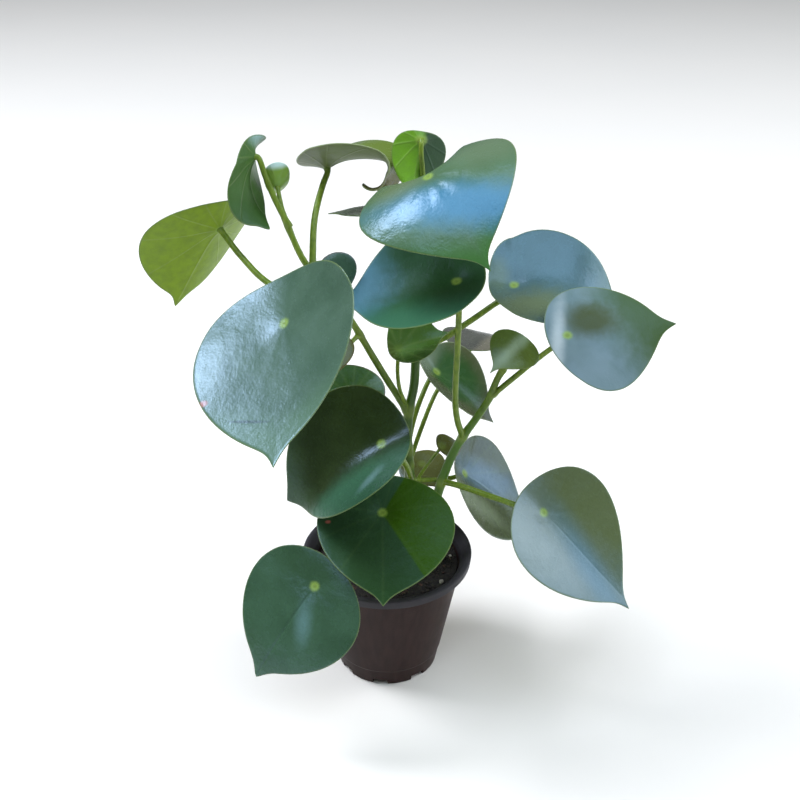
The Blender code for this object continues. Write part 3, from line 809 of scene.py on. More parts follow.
tint = {socket.name: Measure(skin_group, socket) for socket in taking.outputs if socket.name}
across, along, rim = split(skin_group, noted_on_mesh(skin_group, "leaf_place", "Vector"))
under = Measure(skin_group, noted_on_mesh(skin_group, "leaf_under", "Fac"))
below = under.ramp(*UNDER_EDGE)
reach = (across * across + along * along).root()
heading = across.work("ARCTAN2", across, along)
flat = joined(skin_group, across, along, tint["Seed"] * 31.0)
broad = cloud(skin_group, flat, 0.045, 2.0)
patchy = cloud(skin_group, flat, 0.16, 3.0, 0.6)
rays_place = joined(skin_group, heading.cos() * 3.2, heading.sin() * 3.2,
                    tint["Seed"] + reach * 0.012)
rays = cloud(skin_group, rays_place, 2.2, 3.0, 0.6)
pebble = cloud(skin_group, flat, 0.75, 1.0)
fine = cloud(skin_group, flat, 1.9, 2.0)
skin_color = mixed(skin_group, broad.ramp(0.25, 0.75), tint["Deep"].socket, tint["Light"].socket)
# Cloudy patches of the bluish wax colour: the leaf's waxy bloom, with painted sky sheen over it.
wax_and_sheen_mix = (broad * 0.7 + patchy * 0.3).ramp(0.35, 0.7) * tint["Wax and sheen share"]
skin_color = mixed(skin_group, wax_and_sheen_mix, skin_color, tint["Wax and sheen"].socket)
skin_color = mixed(skin_group, rays.ramp(0.5, 0.75) * reach.hump(22.0) * 0.35, skin_color,
                   tint["Light"].socket)
# Painted light at the tip: light shining through it, and on some blades a painted reflection.
skin_color = mixed(skin_group, (along - rim * 0.8).ramp(*TIP_REACH) * 0.6, skin_color,
                   tint["Tip"].socket)
nerve_gap = (heading * (NERVES / 2.0)).sin() * reach * (2.0 / NERVES)
nerve = nerve_gap.hump(0.5) * (1.0 - reach.hump(4.0))
under_color = mixed(skin_group, patchy.ramp(0.35, 0.7) * 0.4, tint["Underside"].socket,
                    tint["Light"].socket)
under_color = mixed(skin_group, nerve * 0.14, under_color, NERVE_TINT)
skin_color = mixed(skin_group, below, skin_color, under_color)
patch_side = 1.0 - below * (1.0 - tint["Both sides"])
# Each patch paints light or shade in place: a painted highlight, reflection, sheen or shade. A few
# are the leaf's own spots and scars.
for count in PATCHES:
    spot_x, spot_y, turn = split(skin_group, tint[f"{count} place"])
    limit_x, limit_y, soft = split(skin_group, tint[f"{count} reach"])
    off_x, off_y = across - spot_x, along - spot_y
    out_x = (off_x * turn.cos() + off_y * turn.sin()) / limit_x
    out_y = (off_y * turn.cos() - off_x * turn.sin()) / limit_y
    far_out = (out_x * out_x + out_y * out_y).root()
    corner_out = out_x.work("ABSOLUTE", out_x) + out_y.work("ABSOLUTE", out_y)
    far_out += (corner_out - far_out) * tint[f"{count} corners"] + (patchy - 0.5) * soft * 0.8
    inside = (1.0 - far_out.ramp(1.0 - soft, 1.0 + soft)) * tint[f"{count} share"] * patch_side
    skin_color = mixed(skin_group, inside, skin_color, tint[f"{count} patch"].socket)
skin_color = mixed(skin_group, nerve_gap.hump(0.8) * tint["Veins"], skin_color, VEIN_TINT)
skin_color = mixed(skin_group, (1.0 - rim.ramp(*MARGIN_REACH)) * 0.6, skin_color,
                   tint["Margin"].socket)
eye = 1.0 - (reach + patchy * 0.8 + rays * 1.2).ramp(*EYE_REACH)
skin_color = mixed(skin_group, eye * tint["Eye"] * 0.9, skin_color, EYE_TINT)
pupil = 1.0 - reach.ramp(*PUPIL_REACH)
skin_color = mixed(skin_group, pupil * tint["Eye"] * 0.35, skin_color, PUPIL_TINT)
fill(skin_group, giving.inputs["Color"], skin_color)
fill(skin_group, giving.inputs["Roughness"], 0.23 + tint["Matt"] + patchy * 0.08 + below * 0.15)
fill(skin_group, giving.inputs["Height"],
     (pebble * 0.06 + fine * 0.03 + patchy * 0.25) * tint["Pebble"]
     - rays * reach.hump(16.0) * 0.05 + nerve * under * 0.15)


GLOSS_TINT = (0.52, 0.72, 1.0, 1.0)


def leaf_finish(name, deep, light, wax_and_sheen, tip, underside=(0.15, 0.23, 0.045), patches=(),
                both_sides=0.0, margin=(0.13, 0.18, 0.05), wax_and_sheen_share=0.4, pebble=1.0, seed=0.0,
                gloss=0.9, eye=1.0, veins=0.0, matt=0.0):
    """The waxy skin of one kind of leaf, with light and shade painted on it.

    patches: up to three, each a colour, its middle across and along the blade with
    its turn, its two reaches with its softness, how cornered it is, and its share.
    Most paint a highlight, a reflection or shade in place; a few are real spots.
    """
    material, tree, shader = new_finish(name)
    group = tree.nodes.new("ShaderNodeGroup")
    group.node_tree = skin_group
    for label, value in (("Deep", deep), ("Light", light), ("Wax and sheen", wax_and_sheen), ("Tip", tip),
                         ("Underside", underside), ("Margin", margin)):
        group.inputs[label].default_value = (*value, 1.0)
    for label, value in (("Wax and sheen share", wax_and_sheen_share), ("Pebble", pebble), ("Seed", seed),
                         ("Eye", eye), ("Veins", veins), ("Matt", matt),
                         ("Both sides", both_sides)):
        group.inputs[label].default_value = value
    for count, (color, place, reach, corners, share) in zip(PATCHES, patches):
        group.inputs[f"{count} patch"].default_value = (*color, 1.0)
        group.inputs[f"{count} place"].default_value = (*place[:2], radians(place[2]))
        group.inputs[f"{count} reach"].default_value = reach
        group.inputs[f"{count} corners"].default_value = corners
        group.inputs[f"{count} share"].default_value = share
    dress(tree, shader, *(group.outputs[label] for label in ("Color", "Roughness", "Height")))
    shader.inputs["Specular IOR Level"].default_value = gloss
    shader.inputs["Specular Tint"].default_value = GLOSS_TINT
    return material


def leaf(name, at, facing, rise, turn, length, width, finish, base=0.25, full=0.6,
         across=0, arch=0, curl=0, fold=0.0, slant=0.0, sweep=0.0, lop=0.0, point=5.0,
         spread=0.3, tip_roll=0, nape=0, base_fold=0.0, softness=14.0, twist=0.0,
         base_lift=0.0, dimple=2.0, dimple_reach=8.0, ripple=0.05, wave=0.5, wave_start=0.0,
         crease=0.0):
    """One leaf blade in place of its solid; returns its stalk's end and direction.

    at: where the stalk joins. facing, rise: the way its upper side faces, round
    from +X and up from level. turn: the tip's turn from straight downhill.
    """
    facing, rise, turn = radians(facing), radians(rise), radians(turn)
    normal = Vector((cos(rise) * cos(facing), cos(rise) * sin(facing), sin(rise)))
    downhill = Vector((sin(rise) * cos(facing), sin(rise) * sin(facing), -cos(rise)))
    tip_way = downhill * cos(turn) + downhill.cross(normal) * sin(turn)
    widest = max(sin(k * pi / 180) * sin(k * pi / 360) ** full for k in range(1, 180))
    fineness = 1.0 if length > LARGE_BLADE else 0.75 if length > SMALL_BLADE else 0.55
    blade_name = name.removeprefix("leaf_") + "_blade"
    blade = bpy.data.objects.new(blade_name, bpy.data.meshes.new(blade_name))
    scene.collection.objects.link(blade)
    run_tree(blade, blade_tree, Spokes=round(SPOKES * fineness),
             Top_rows=round(TOP_ROWS * fineness), Under_rows=round(UNDER_ROWS * fineness),
             Length=float(length), Width=float(width), Across_bend=radians(across) + 0.000001,
             Arch=radians(arch), Curl=radians(curl), Tip_roll=radians(tip_roll),
             Nape=radians(nape), Fold=fold, Base_fold=base_fold, Softness=softness,
             Twist=twist, Base_lift=base_lift, Dimple=dimple, Dimple_reach=dimple_reach,
             Ripple=ripple * length / 90, Wave=wave * length / 90, Wave_start=wave_start,
             Crease=crease, Seed=len(name) * 0.37, Base=base, Full=full,
             Breadth=1.0 / widest, Slant=slant, Sweep=sweep, Lop=lop, Point=point,
             Tip_spread=spread, Stalk_end=Vector(at), Upper_side=normal, Tip_way=tip_way,
             Finish=finish)
    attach(blade, "root")
    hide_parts(name)
    return Vector(at) - normal * STALK_INSET, normal


# Painted sheen in the pale grey-blue patch on the left side, painted shade along a crease line
# near the tip, and a real reddish scar.
big_left_skin = leaf_finish(
    "big_left_skin", (0.045, 0.092, 0.055), (0.062, 0.118, 0.072), (0.075, 0.130, 0.095),
    (0.075, 0.15, 0.075), gloss=0.7, pebble=0.7, patches=(
        ((0.16, 0.24, 0.22), (46, 9, 0), (10, 22, 0.12), 0, 0.5),
        ((0.02, 0.045, 0.03), (16, 53.3, -13), (12, 0.8, 0.5), 0, 0.9),
        ((0.40, 0.16, 0.13), (45, 36.5, 0), (2.6, 1.8, 0.5), 0, 0.8)))
big_left = leaf(
    "leaf_big_left", (-50, -83, 286), -137, 44, -38, 111, 101, big_left_skin,
    base=0.27, full=0.69, across=-31, arch=-4, curl=-10, base_fold=0.12, slant=0.09, sweep=-0.03,
    lop=0.05, base_lift=-0.07, point=8.0, spread=0.25, dimple=1.4, dimple_reach=10.0,
    ripple=0.02, wave=1.0, wave_start=0.6)
# A blue band of painted sky reflection, painted grey-olive sheen near the stalk and on the top
# lobe, and a tip painted bright yellow-green with the light through it.
saddle_top_skin = leaf_finish(
    "saddle_top_skin", (0.060, 0.125, 0.055), (0.078, 0.150, 0.070), (0.085, 0.160, 0.095),
    (0.040, 0.170, 0.010), pebble=1.2, seed=1.0, gloss=0.55, patches=(
        ((0.045, 0.180, 0.300), (-10, 28, 62), (12, 46, 0.7), 0, 0.9),
        ((0.120, 0.165, 0.080), (16, -6, 0), (16, 11, 0.8), 0, 0.8),
        ((0.130, 0.170, 0.095), (-36, -2, 0), (20, 14, 0.7), 0, 0.5)))
saddle_top = leaf(
    "leaf_saddle_top", (23, -35, 347), -144, 63, -66, 89, 90, saddle_top_skin,
    base=0.28, full=0.9, across=27, arch=92, curl=-7, slant=0.07, sweep=-0.13,
    lop=-0.04, point=7.5, spread=0.27, nape=150, dimple=1.0, dimple_reach=7.0, ripple=0.10)
# Its blue-teal greens paint the reflected sky; the olive patches show the leaf where it reflects
# none.
upper_right_skin = leaf_finish(
    "upper_right_skin", (0.050, 0.105, 0.115), (0.060, 0.125, 0.145), (0.065, 0.135, 0.160),
    (0.070, 0.140, 0.100), seed=1.4, gloss=0.5, patches=(
        ((0.115, 0.145, 0.060), (20, 8, 12), (13, 32, 0.8), 0, 0.8),
        ((0.120, 0.175, 0.100), (-4, -10, 0), (12, 7, 0.6), 0, 0.6)))
upper_right = leaf(
    "leaf_upper_right", (76, 18, 264), -105, 65, -100, 81, 70, upper_right_skin,
    base=0.19, full=0.36, across=12, arch=30, curl=46, fold=0.24, base_fold=0.40, softness=13.0,
    slant=0.08, sweep=-0.07, twist=-0.27, base_lift=-0.13, lop=-0.03, point=2.7)
# Its blue-grey greens paint sky sheen; the dark green and olive patches show where it reflects
# none, and the white streak is a painted highlight.
cupped_right_skin = leaf_finish(
    "cupped_right_skin", (0.115, 0.180, 0.190), (0.150, 0.220, 0.240), (0.165, 0.235, 0.260),
    (0.075, 0.120, 0.030), seed=2.0, gloss=0.3, matt=0.05, patches=(
        ((0.042, 0.080, 0.014), (-8, 52, 24), (38, 28, 0.6), 0, 0.95),
        ((0.050, 0.066, 0.008), (-7, 14, -15), (10, 14, 0.6), 0, 1.0),
        ((0.420, 0.490, 0.510), (8, -8, -16), (26, 3.5, 0.9), 0, 0.85)))
cupped_right = leaf(
    "leaf_cupped_right", (102, -30, 254), -87, 60, -96, 75, 67, cupped_right_skin,
    base=0.18, full=0.61, across=5, arch=13, curl=3, fold=-0.05, slant=0.05, twist=-0.33,
    base_lift=-0.12, lop=0.11, point=8.0, spread=0.27, dimple=4.0, dimple_reach=15.0, wave=1.0,
    wave_start=2.0)
# Its grey-blue greens paint sky sheen, with a pale painted highlight on one side and a blue stripe
# of painted reflection; the olive patch on the other side has none.
low_right_skin = leaf_finish(
    "low_right_skin", (0.100, 0.150, 0.140), (0.125, 0.180, 0.175), (0.145, 0.200, 0.200),
    (0.080, 0.130, 0.110), seed=2.6, gloss=0.35, patches=(
        ((0.290, 0.350, 0.330), (24, -2, 0), (16, 34, 0.9), 0, 0.55),
        ((0.090, 0.118, 0.036), (-34, 14, 0), (33, 60, 0.55), 0, 0.9),
        ((0.070, 0.170, 0.240), (4, 44, -14), (8, 34, 0.9), 0, 0.55)))
low_right = leaf(
    "leaf_low_right", (95, -35, 138), -58, 44, -24, 96, 80, low_right_skin,
    base=0.21, full=0.73, across=10, arch=8, curl=-13, fold=0.20, base_fold=0.06, softness=8.0,
    slant=0.02, sweep=0.04, twist=0.03, lop=-0.03, point=7.0, spread=0.28, crease=0.1, dimple=1.5)
# The blue patch paints a sky reflection.
grey_skin = leaf_finish(
    "grey_skin", (0.045, 0.060, 0.016), (0.075, 0.095, 0.034), (0.09, 0.12, 0.06),
    (0.09, 0.12, 0.04), seed=4.0, gloss=0.35, veins=0.08, margin=(0.20, 0.22, 0.13), patches=(
        ((0.110, 0.200, 0.300), (-6, 16, 10), (9, 26, 0.8), 0, 0.75),
        ((0.210, 0.260, 0.170), (18, 6, 0), (7, 30, 0.7), 0, 0.6)))
folded_low_right = leaf(
    "leaf_folded_low_right", (50, 20, 131), -25, 35, -26, 76, 66, grey_skin,
    base=0.17, full=0.52, across=11, arch=-6, curl=-23, fold=0.22, base_fold=0.07, slant=0.09,
    sweep=0.19, twist=-0.22, base_lift=-0.07, crease=0.2)
behind_skin = leaf_finish(
    "behind_skin", (0.070, 0.072, 0.060), (0.095, 0.095, 0.075), (0.11, 0.11, 0.10),
    (0.10, 0.10, 0.07), seed=4.6, gloss=0.5, eye=0.0, patches=(
        ((0.180, 0.165, 0.120), (22, 14, 0), (16, 60, 0.2), 0, 0.8),))
level_behind = leaf(
    "leaf_level_behind", (54, 60, 205), -18, 88, -78, 47, 43, behind_skin,
    base=0.25, full=0.75, across=-7, arch=32, curl=16, fold=0.04)


# Deep green leaves
# The older blades, dark and thick, that hang in the shade under the top ones; their dark
# greens are partly that shade, painted. They are made as the bluish ones are, and the
# small inner ones are olive and fading, or teal green.
# Its very dark greens are partly painted shade; the teal lower half is a painted reflection, and
# the small pale patch a painted highlight.
dark_middle_skin = leaf_finish(
    "dark_middle_skin", (0.014, 0.025, 0.005), (0.023, 0.038, 0.008), (0.026, 0.046, 0.014),
    (0.036, 0.075, 0.030), wax_and_sheen_share=0.3, gloss=0.3, pebble=0.9, patches=(
        ((0.040, 0.125, 0.070), (-30, 26, 4), (23, 60, 0.35), 0, 0.9),
        ((0.300, 0.480, 0.560), (-21, 12, 30), (2.5, 8, 0.9), 0, 0.3)))
dark_middle = leaf(
    "leaf_dark_middle", (-2, -48, 194), -125, 51, 39, 91, 75, dark_middle_skin,
    base=0.21, full=0.47, across=-34, arch=29, curl=26, fold=0.30, base_fold=0.16, softness=7.5,
    slant=-0.09, sweep=0.16, twist=-0.08, base_lift=-0.03, lop=0.04, point=5.6, dimple=0.7,
    ripple=0.02)
# A dark patch paints shade in the middle, the bright green wedge paints the side in direct light,
# and the small reddish spot is real.
over_soil_skin = leaf_finish(
    "over_soil_skin", (0.026, 0.068, 0.030), (0.036, 0.088, 0.040), (0.044, 0.096, 0.052),
    (0.020, 0.052, 0.016), wax_and_sheen_share=0.4, seed=0.6, gloss=0.13, veins=0.04, patches=(
        ((0.016, 0.042, 0.012), (2, 34, 0), (24, 30, 0.6), 0, 0.8),
        ((0.030, 0.078, 0.002), (-42, 1, 0), (42, 74, 0.02), 1, 0.95),
        ((0.42, 0.12, 0.10), (32, 5.7, 0), (1.5, 1.0, 0.5), 0, 0.9)))
over_soil = leaf(
    "leaf_over_soil", (-2, -47, 146), -89, 62, 0, 88, 81, over_soil_skin,
    base=0.30, across=14, arch=-3, curl=-27, slant=-0.02, lop=-0.05, point=6.0, spread=0.26,
    ripple=0.02, wave=0.4, wave_start=1.2)
# A painted highlight below the dot, and a darker patch behind the stalk.
low_left_skin = leaf_finish(
    "low_left_skin", (0.030, 0.072, 0.034), (0.040, 0.094, 0.046), (0.045, 0.100, 0.058),
    (0.040, 0.090, 0.034), seed=3.0, gloss=0.6, pebble=1.3, patches=(
        ((0.230, 0.420, 0.480), (-7, 21, 28), (4, 11, 0.9), 0, 0.25),
        ((0.026, 0.065, 0.024), (14, -8, 0), (22, 12, 0.8), 0, 0.6)))
low_left = leaf(
    "leaf_low_left", (-41, -78, 116), -103, 38, 28, 84, 75, low_left_skin,
    base=0.23, full=0.46, across=21, arch=23, curl=12, base_fold=0.12, slant=-0.05,
    base_lift=0.03, crease=0.35, point=7.0, spread=0.27, dimple=1.4)
# Its dark greens paint the shade under the leaf above; the teal lower patch, the blue far patch
# and the blue tip colour paint sky reflection.
upper_middle_skin = leaf_finish(
    "upper_middle_skin", (0.014, 0.052, 0.010), (0.020, 0.070, 0.018), (0.024, 0.076, 0.030),
    (0.060, 0.180, 0.220), seed=3.4, gloss=0.2, matt=0.1, pebble=0.8, patches=(
        ((0.036, 0.125, 0.070), (-28, 24, -8), (16, 50, 0.6), 0, 0.8),
        ((0.080, 0.210, 0.290), (12, 62, -20), (20, 26, 0.6), 0, 0.85)))
upper_middle = leaf(
    "leaf_upper_middle", (39, -36, 289), -124, 65, 56, 79, 77, upper_middle_skin,
    base=0.22, full=0.43, across=-8, curl=-8, fold=0.27, softness=40.0, slant=-0.05,
    twist=0.13, base_lift=-0.13, point=5.4, dimple=1.2, ripple=0.02)
# Its grey-olive greens are partly painted sheen, and the pale patch behind the stalk a painted
# highlight.
narrow_middle_skin = leaf_finish(
    "narrow_middle_skin", (0.080, 0.090, 0.040), (0.105, 0.120, 0.060), (0.11, 0.13, 0.08),
    (0.080, 0.085, 0.040), seed=4.2, gloss=0.22, veins=0.06, margin=(0.24, 0.28, 0.16), patches=(
        ((0.030, 0.095, 0.024), (-5, 10, 0), (14, 24, 0.4), 0, 0.9),
        ((0.190, 0.240, 0.170), (3, -9, 0), (13, 6, 0.7), 0, 0.8)))
narrow_middle = leaf(
    "leaf_narrow_middle", (31, 30, 200), -31, 52, -6, 62, 49, narrow_middle_skin,
    base=0.24, full=0.65, across=16, arch=13, curl=-5, fold=0.52, base_fold=0.17, softness=11.5,
    slant=0.04, sweep=-0.11, twist=-0.05)
# A pale blue painted highlight near the base, painted grey-blue sheen down one side, and painted
# shade over the tip half.
upper_left_skin = leaf_finish(
    "upper_left_skin", (0.036, 0.100, 0.016), (0.056, 0.140, 0.034), (0.065, 0.150, 0.060),
    (0.030, 0.080, 0.012), underside=(0.055, 0.130, 0.022), seed=3.8, gloss=0.3, eye=0.0,
    both_sides=1.0, patches=(
        ((0.420, 0.640, 0.660), (6, -13, 0), (9, 6, 0.8), 0, 0.75),
        ((0.110, 0.170, 0.090), (15, 4, 0), (6, 22, 0.8), 0, 0.6),
        ((0.024, 0.066, 0.008), (0, 32, 0), (30, 14, 0.6), 0, 0.7)))
upper_left = leaf(
    "leaf_upper_left", (-70, -12, 351), -186, 8, -4, 51, 48, upper_left_skin,
    base=0.24, full=0.18, across=-32, arch=22, curl=82, base_fold=-0.36, softness=13.0,
    slant=-0.08, sweep=-0.17, twist=-0.45, base_lift=-0.54, lop=0.02, point=5.2, spread=0.24)
spike_skin = leaf_finish(
    "spike_skin", (0.110, 0.150, 0.090), (0.150, 0.190, 0.120), (0.17, 0.21, 0.14),
    (0.14, 0.18, 0.10), underside=(0.28, 0.32, 0.22), seed=6.0, gloss=0.3)
hidden_top = leaf(
    "leaf_hidden_top", (3, 16, 309), 90, 80, -78, 46, 40, spike_skin,
    base=0.22, arch=12)
# Teal green, its bluish tone partly painted sheen, with a brownish margin.
teal_green_skin = leaf_finish(
    "teal_green_skin", (0.040, 0.090, 0.055), (0.055, 0.115, 0.070), (0.065, 0.120, 0.085),
    (0.06, 0.11, 0.05), seed=5.0, gloss=0.4, eye=0.0, margin=(0.10, 0.08, 0.06))
small_behind_left = leaf(
    "leaf_small_behind_left", (-27, -30, 292), -48, 9, 0, 31, 27, teal_green_skin,
    base=0.37, full=0.85, arch=53, curl=60, sweep=-0.10, point=1.6)
fading_skin = leaf_finish(
    "fading_skin", (0.080, 0.090, 0.020), (0.120, 0.125, 0.035), (0.10, 0.12, 0.04),
    (0.12, 0.11, 0.03), underside=(0.13, 0.11, 0.035), seed=5.4, gloss=0.35, eye=0.3,
    margin=(0.12, 0.08, 0.03))
small_left = leaf(
    "leaf_small_left", (-30, -40, 253), -77, 47, 9, 31, 26, fading_skin,
    base=0.29, full=0.8, across=10, arch=13, curl=10)
inner_left_skin = leaf_finish(
    "inner_left_skin", (0.040, 0.105, 0.006), (0.060, 0.140, 0.012), (0.065, 0.140, 0.025),
    (0.05, 0.10, 0.02), wax_and_sheen_share=0.2, seed=5.8, gloss=0.22, eye=0.2, veins=0.2,
    margin=(0.16, 0.13, 0.05))
inner_left = leaf(
    "leaf_inner_left", (-21, 8, 196), -100, 58, 15, 52, 44, inner_left_skin,
    base=0.37, across=-40, arch=-44, curl=-37, point=3.0, ripple=0.2)
inner_low = leaf(
    "leaf_inner_low", (23, 40, 126), -92, 70, -29, 36, 32, fading_skin,
    base=0.30, full=0.8, across=23, curl=-17, lop=0.06, point=3.0)


# Young leaves
# The newest blades, small, thin and bright green. They are still folded along the midrib
# or cupped like a bud as they open.
# The olive patch near the base paints the shadow of the leaf above; a darker strip runs down one
# half.
young_middle_skin = leaf_finish(
    "young_middle_skin", (0.065, 0.145, 0.016), (0.100, 0.210, 0.040), (0.110, 0.220, 0.080),
    (0.05, 0.11, 0.015), pebble=0.7, seed=6.2, gloss=0.35, eye=0.25, veins=0.35, patches=(
        ((0.070, 0.080, 0.010), (6, -12, 0), (14, 9, 0.5), 0, 0.85),
        ((0.040, 0.085, 0.010), (14, 12, 0), (7, 22, 0.4), 0, 0.6)))
young_middle = leaf(
    "leaf_young_middle", (8, -16, 239), -87, 58, -108, 38, 34, young_middle_skin,
    base=0.20, across=18, arch=6, curl=14, fold=0.77, slant=-0.09, sweep=-0.08, point=5.7,
    softness=5.9, dimple=0.8, dimple_reach=4.0)
# The pale stripe across the crest is a painted highlight, and the darker patch on the lower side
# painted shade.
young_right_skin = leaf_finish(
    "young_right_skin", (0.085, 0.120, 0.016), (0.120, 0.165, 0.036), (0.13, 0.19, 0.07),
    (0.06, 0.09, 0.010), pebble=0.7, seed=6.6, gloss=0.3, eye=0.0, veins=0.05, patches=(
        ((0.260, 0.340, 0.220), (1, 2, 90), (22, 3.5, 0.8), 0, 0.8),
        ((0.060, 0.095, 0.010), (10, 8, 0), (7, 26, 0.5), 0, 0.8)))
young_right = leaf(
    "leaf_young_right", (76, -24, 246), -51, 60, 73, 36, 31, young_right_skin,
    base=0.25, full=0.85, across=70, arch=33, curl=-4, fold=0.20, slant=0.07, dimple=0.5)
# Its pale blue-white wax, tip and margin colours and the white stripe at the rim paint highlight
# and sheen; the greens and underside are its own.
bud_skin = leaf_finish(
    "bud_skin", (0.11, 0.25, 0.04), (0.20, 0.36, 0.10), (0.40, 0.60, 0.50),
    (0.35, 0.55, 0.45), underside=(0.20, 0.34, 0.012), wax_and_sheen_share=0.9, pebble=0.8, gloss=0.6,
    eye=0.0, margin=(0.55, 0.75, 0.65), both_sides=1.0, patches=(
        ((0.600, 0.800, 0.800), (0, -14, 0), (14, 3.5, 0.5), 0, 0.85),))
bud_leaf = leaf(
    "leaf_bud", (-59, 0, 331), 101.5, 30, -1, 29, 17, bud_skin,
    base=0.47, full=0.84, across=-116, arch=-91, curl=-15, fold=0.07, point=0.7, wave=1.6,
    dimple=1.0, dimple_reach=4.0)
# One half of the fold is painted darker as its shade.
youngest_skin = leaf_finish(
    "youngest_skin", (0.055, 0.130, 0.012), (0.110, 0.220, 0.025), (0.13, 0.24, 0.10),
    (0.10, 0.20, 0.03), underside=(0.13, 0.30, 0.012), wax_and_sheen_share=0.3, pebble=0.6, gloss=0.4,
    both_sides=1.0, patches=(((0.022, 0.055, 0.006), (15, 5, 0), (14, 40, 0.12), 0, 1.0),))
youngest_top = leaf(
    "leaf_youngest_top", (20, 9, 354), 91, -4, -10, 37, 30, youngest_skin,
    base=0.13, full=0.74, arch=21, curl=20, fold=0.75, lop=0.04, point=3.0, softness=3.5,
    dimple=1.0, dimple_reach=4.0)
smallest_inner = leaf(
    "leaf_smallest_inner", (35, 20, 152), -69, 54, -79, 17, 16, fading_skin,
    base=0.17, full=0.7, arch=19, slant=0.30, point=1.0, dimple=1.0, dimple_reach=4.0)


# Leaves that show their undersides
# Two high blades lean away, so their pale yellow-green backs face the front, painted
# brighter with the light that shines through them. The tip of the arched one has rolled
# under and dried, and the grey of its upper side is painted sheen.
# The bright yellow-green of the underside is partly painted light shining through the blade.
far_left_skin = leaf_finish(
    "far_left_skin", (0.030, 0.065, 0.020), (0.110, 0.170, 0.020), (0.13, 0.19, 0.17),
    (0.10, 0.15, 0.03), underside=(0.200, 0.310, 0.010), gloss=0.3, matt=0.06)
far_left = leaf(
    "leaf_far_left", (-95, 12, 302), 134, 31, -16, 82, 76, far_left_skin,
    base=0.28, full=0.4, across=-5, arch=7, curl=-3, fold=0.26, slant=-0.10, lop=-0.04,
    point=8.0, spread=0.22, softness=40.0, wave=1.2, wave_start=4.0, dimple=1.2)
# Its grey greens paint the sheen on the upper side; the yellow-green patch is the underside, and
# the brown patch the dried tip.
arched_top_skin = leaf_finish(
    "arched_top_skin", (0.100, 0.120, 0.095), (0.150, 0.170, 0.140), (0.18, 0.20, 0.18),
    (0.14, 0.15, 0.11), underside=(0.130, 0.160, 0.060), gloss=0.3, eye=0.2,
    margin=(0.40, 0.46, 0.25), both_sides=1.0, patches=(
        ((0.100, 0.150, 0.012), (0, 26, 0), (40, 22, 0.4), 0, 0.9),
        ((0.170, 0.150, 0.040), (0, 54, 0), (30, 10, 0.5), 0, 0.8)))
arched_top = leaf(
    "leaf_arched_top", (-33, 20, 336), 116, 70, 131, 75, 56, arched_top_skin,
    base=0.19, full=0.5, across=-10, arch=-8, curl=120, tip_roll=104, fold=0.32,
    base_fold=-0.15, softness=6.0, slant=-0.20, sweep=-0.04, lop=-0.04, point=7.0)


# Upright stem
# A fleshy green stem with a side shoot, rooted in the compost. Leaf stalks grow out of
# its swollen joints, and each widens again where it runs into its blade.
SHOOT_SPACING = 2.0
SHOOT_SIDES = 20
JOINT_REACH = 3.2
STEM_FOOT = 50.0
UPRIGHT_FOOT = (16, 9)
STALK_RADIUS = 1.7
UNEVENNESS = 0.2
JOINT_SWELL = 0.20
FOOT_SWELL_REACH = 3.0
END_SWELL_REACH = 1.8
STEM_SHARP = 70.0

tube_tree, taking, giving = new_tree("Fleshy shoot", "GeometryNodeTree", [
    ("Line", "NodeSocketGeometry", None),
    ("Sides", "NodeSocketInt", 16),
    ("Unevenness", "NodeSocketFloat", 0.0),
    ("Finish", "NodeSocketMaterial", None),
], [("Shoot", "NodeSocketGeometry")])
line = placed(tube_tree, "GeometryNodeMeshToCurve", Mesh=taking.outputs["Line"])
thickness = placed(tube_tree, "GeometryNodeInputNamedAttribute", {"data_type": "FLOAT"},
                   Name="shoot_radius")
outline = placed(tube_tree, "GeometryNodeCurvePrimitiveCircle",
                 Resolution=taking.outputs["Sides"], Radius=1.0)
tube = placed(tube_tree, "GeometryNodeCurveToMesh", Curve=line.outputs["Curve"],
              Profile_Curve=outline.outputs["Curve"], Fill_Caps=True)
fill(tube_tree, tube.inputs["Scale"], live(thickness.outputs))
uneven = cloud(tube_tree, own_place(tube_tree), 160.0, 3.0)
surface_way = placed(tube_tree, "GeometryNodeInputNormal")
shift = vector_work(tube_tree, "SCALE", surface_way.outputs["Normal"],
                    scale=(uneven - 0.5) * Measure(tube_tree, taking.outputs["Unevenness"]))
swelled = placed(tube_tree, "GeometryNodeSetPosition", Geometry=tube.outputs["Mesh"],
                 Offset=shift)
hand_out(tube_tree, closed_skin(tube_tree, swelled.outputs["Geometry"]), taking, giving)


def stem_skin(name, old_green):
    """Green skin, yellower on the thin stalks and at the joints, old_green on a thick stem."""
    material, tree, shader = new_finish(name)
    place = tree.nodes.new("ShaderNodeTexCoord").outputs["Object"]
    stretched = placed(tree, "ShaderNodeMapping", Vector=place)
    stretched.inputs["Scale"].default_value = (1.0, 1.0, 0.15)
    streaked = cloud(tree, stretched.outputs["Vector"], 700.0, 3.0)
    mottled = cloud(tree, place, 90.0, 4.0, 0.6)
    joint, radius = (Measure(tree, noted_on_mesh(tree, label, "Fac"))
                     for label in ("shoot_joint", "shoot_radius"))
    color = mixed(tree, streaked.ramp(0.35, 0.65), (0.110, 0.185, 0.014), (0.175, 0.250, 0.026))
    color = mixed(tree, (radius / MM + mottled * 0.5).ramp(1.95, 3.0), color, old_green)
    color = mixed(tree, mottled.ramp(0.5, 0.7) * 0.5, color, (0.055, 0.095, 0.010))
    color = mixed(tree, joint * 0.6, color, (0.200, 0.270, 0.045))
    dress(tree, shader, color, 0.3 + mottled * 0.15, streaked * 0.1 + mottled * 0.15)
    shader.inputs["Specular IOR Level"].default_value = 0.3
    return material


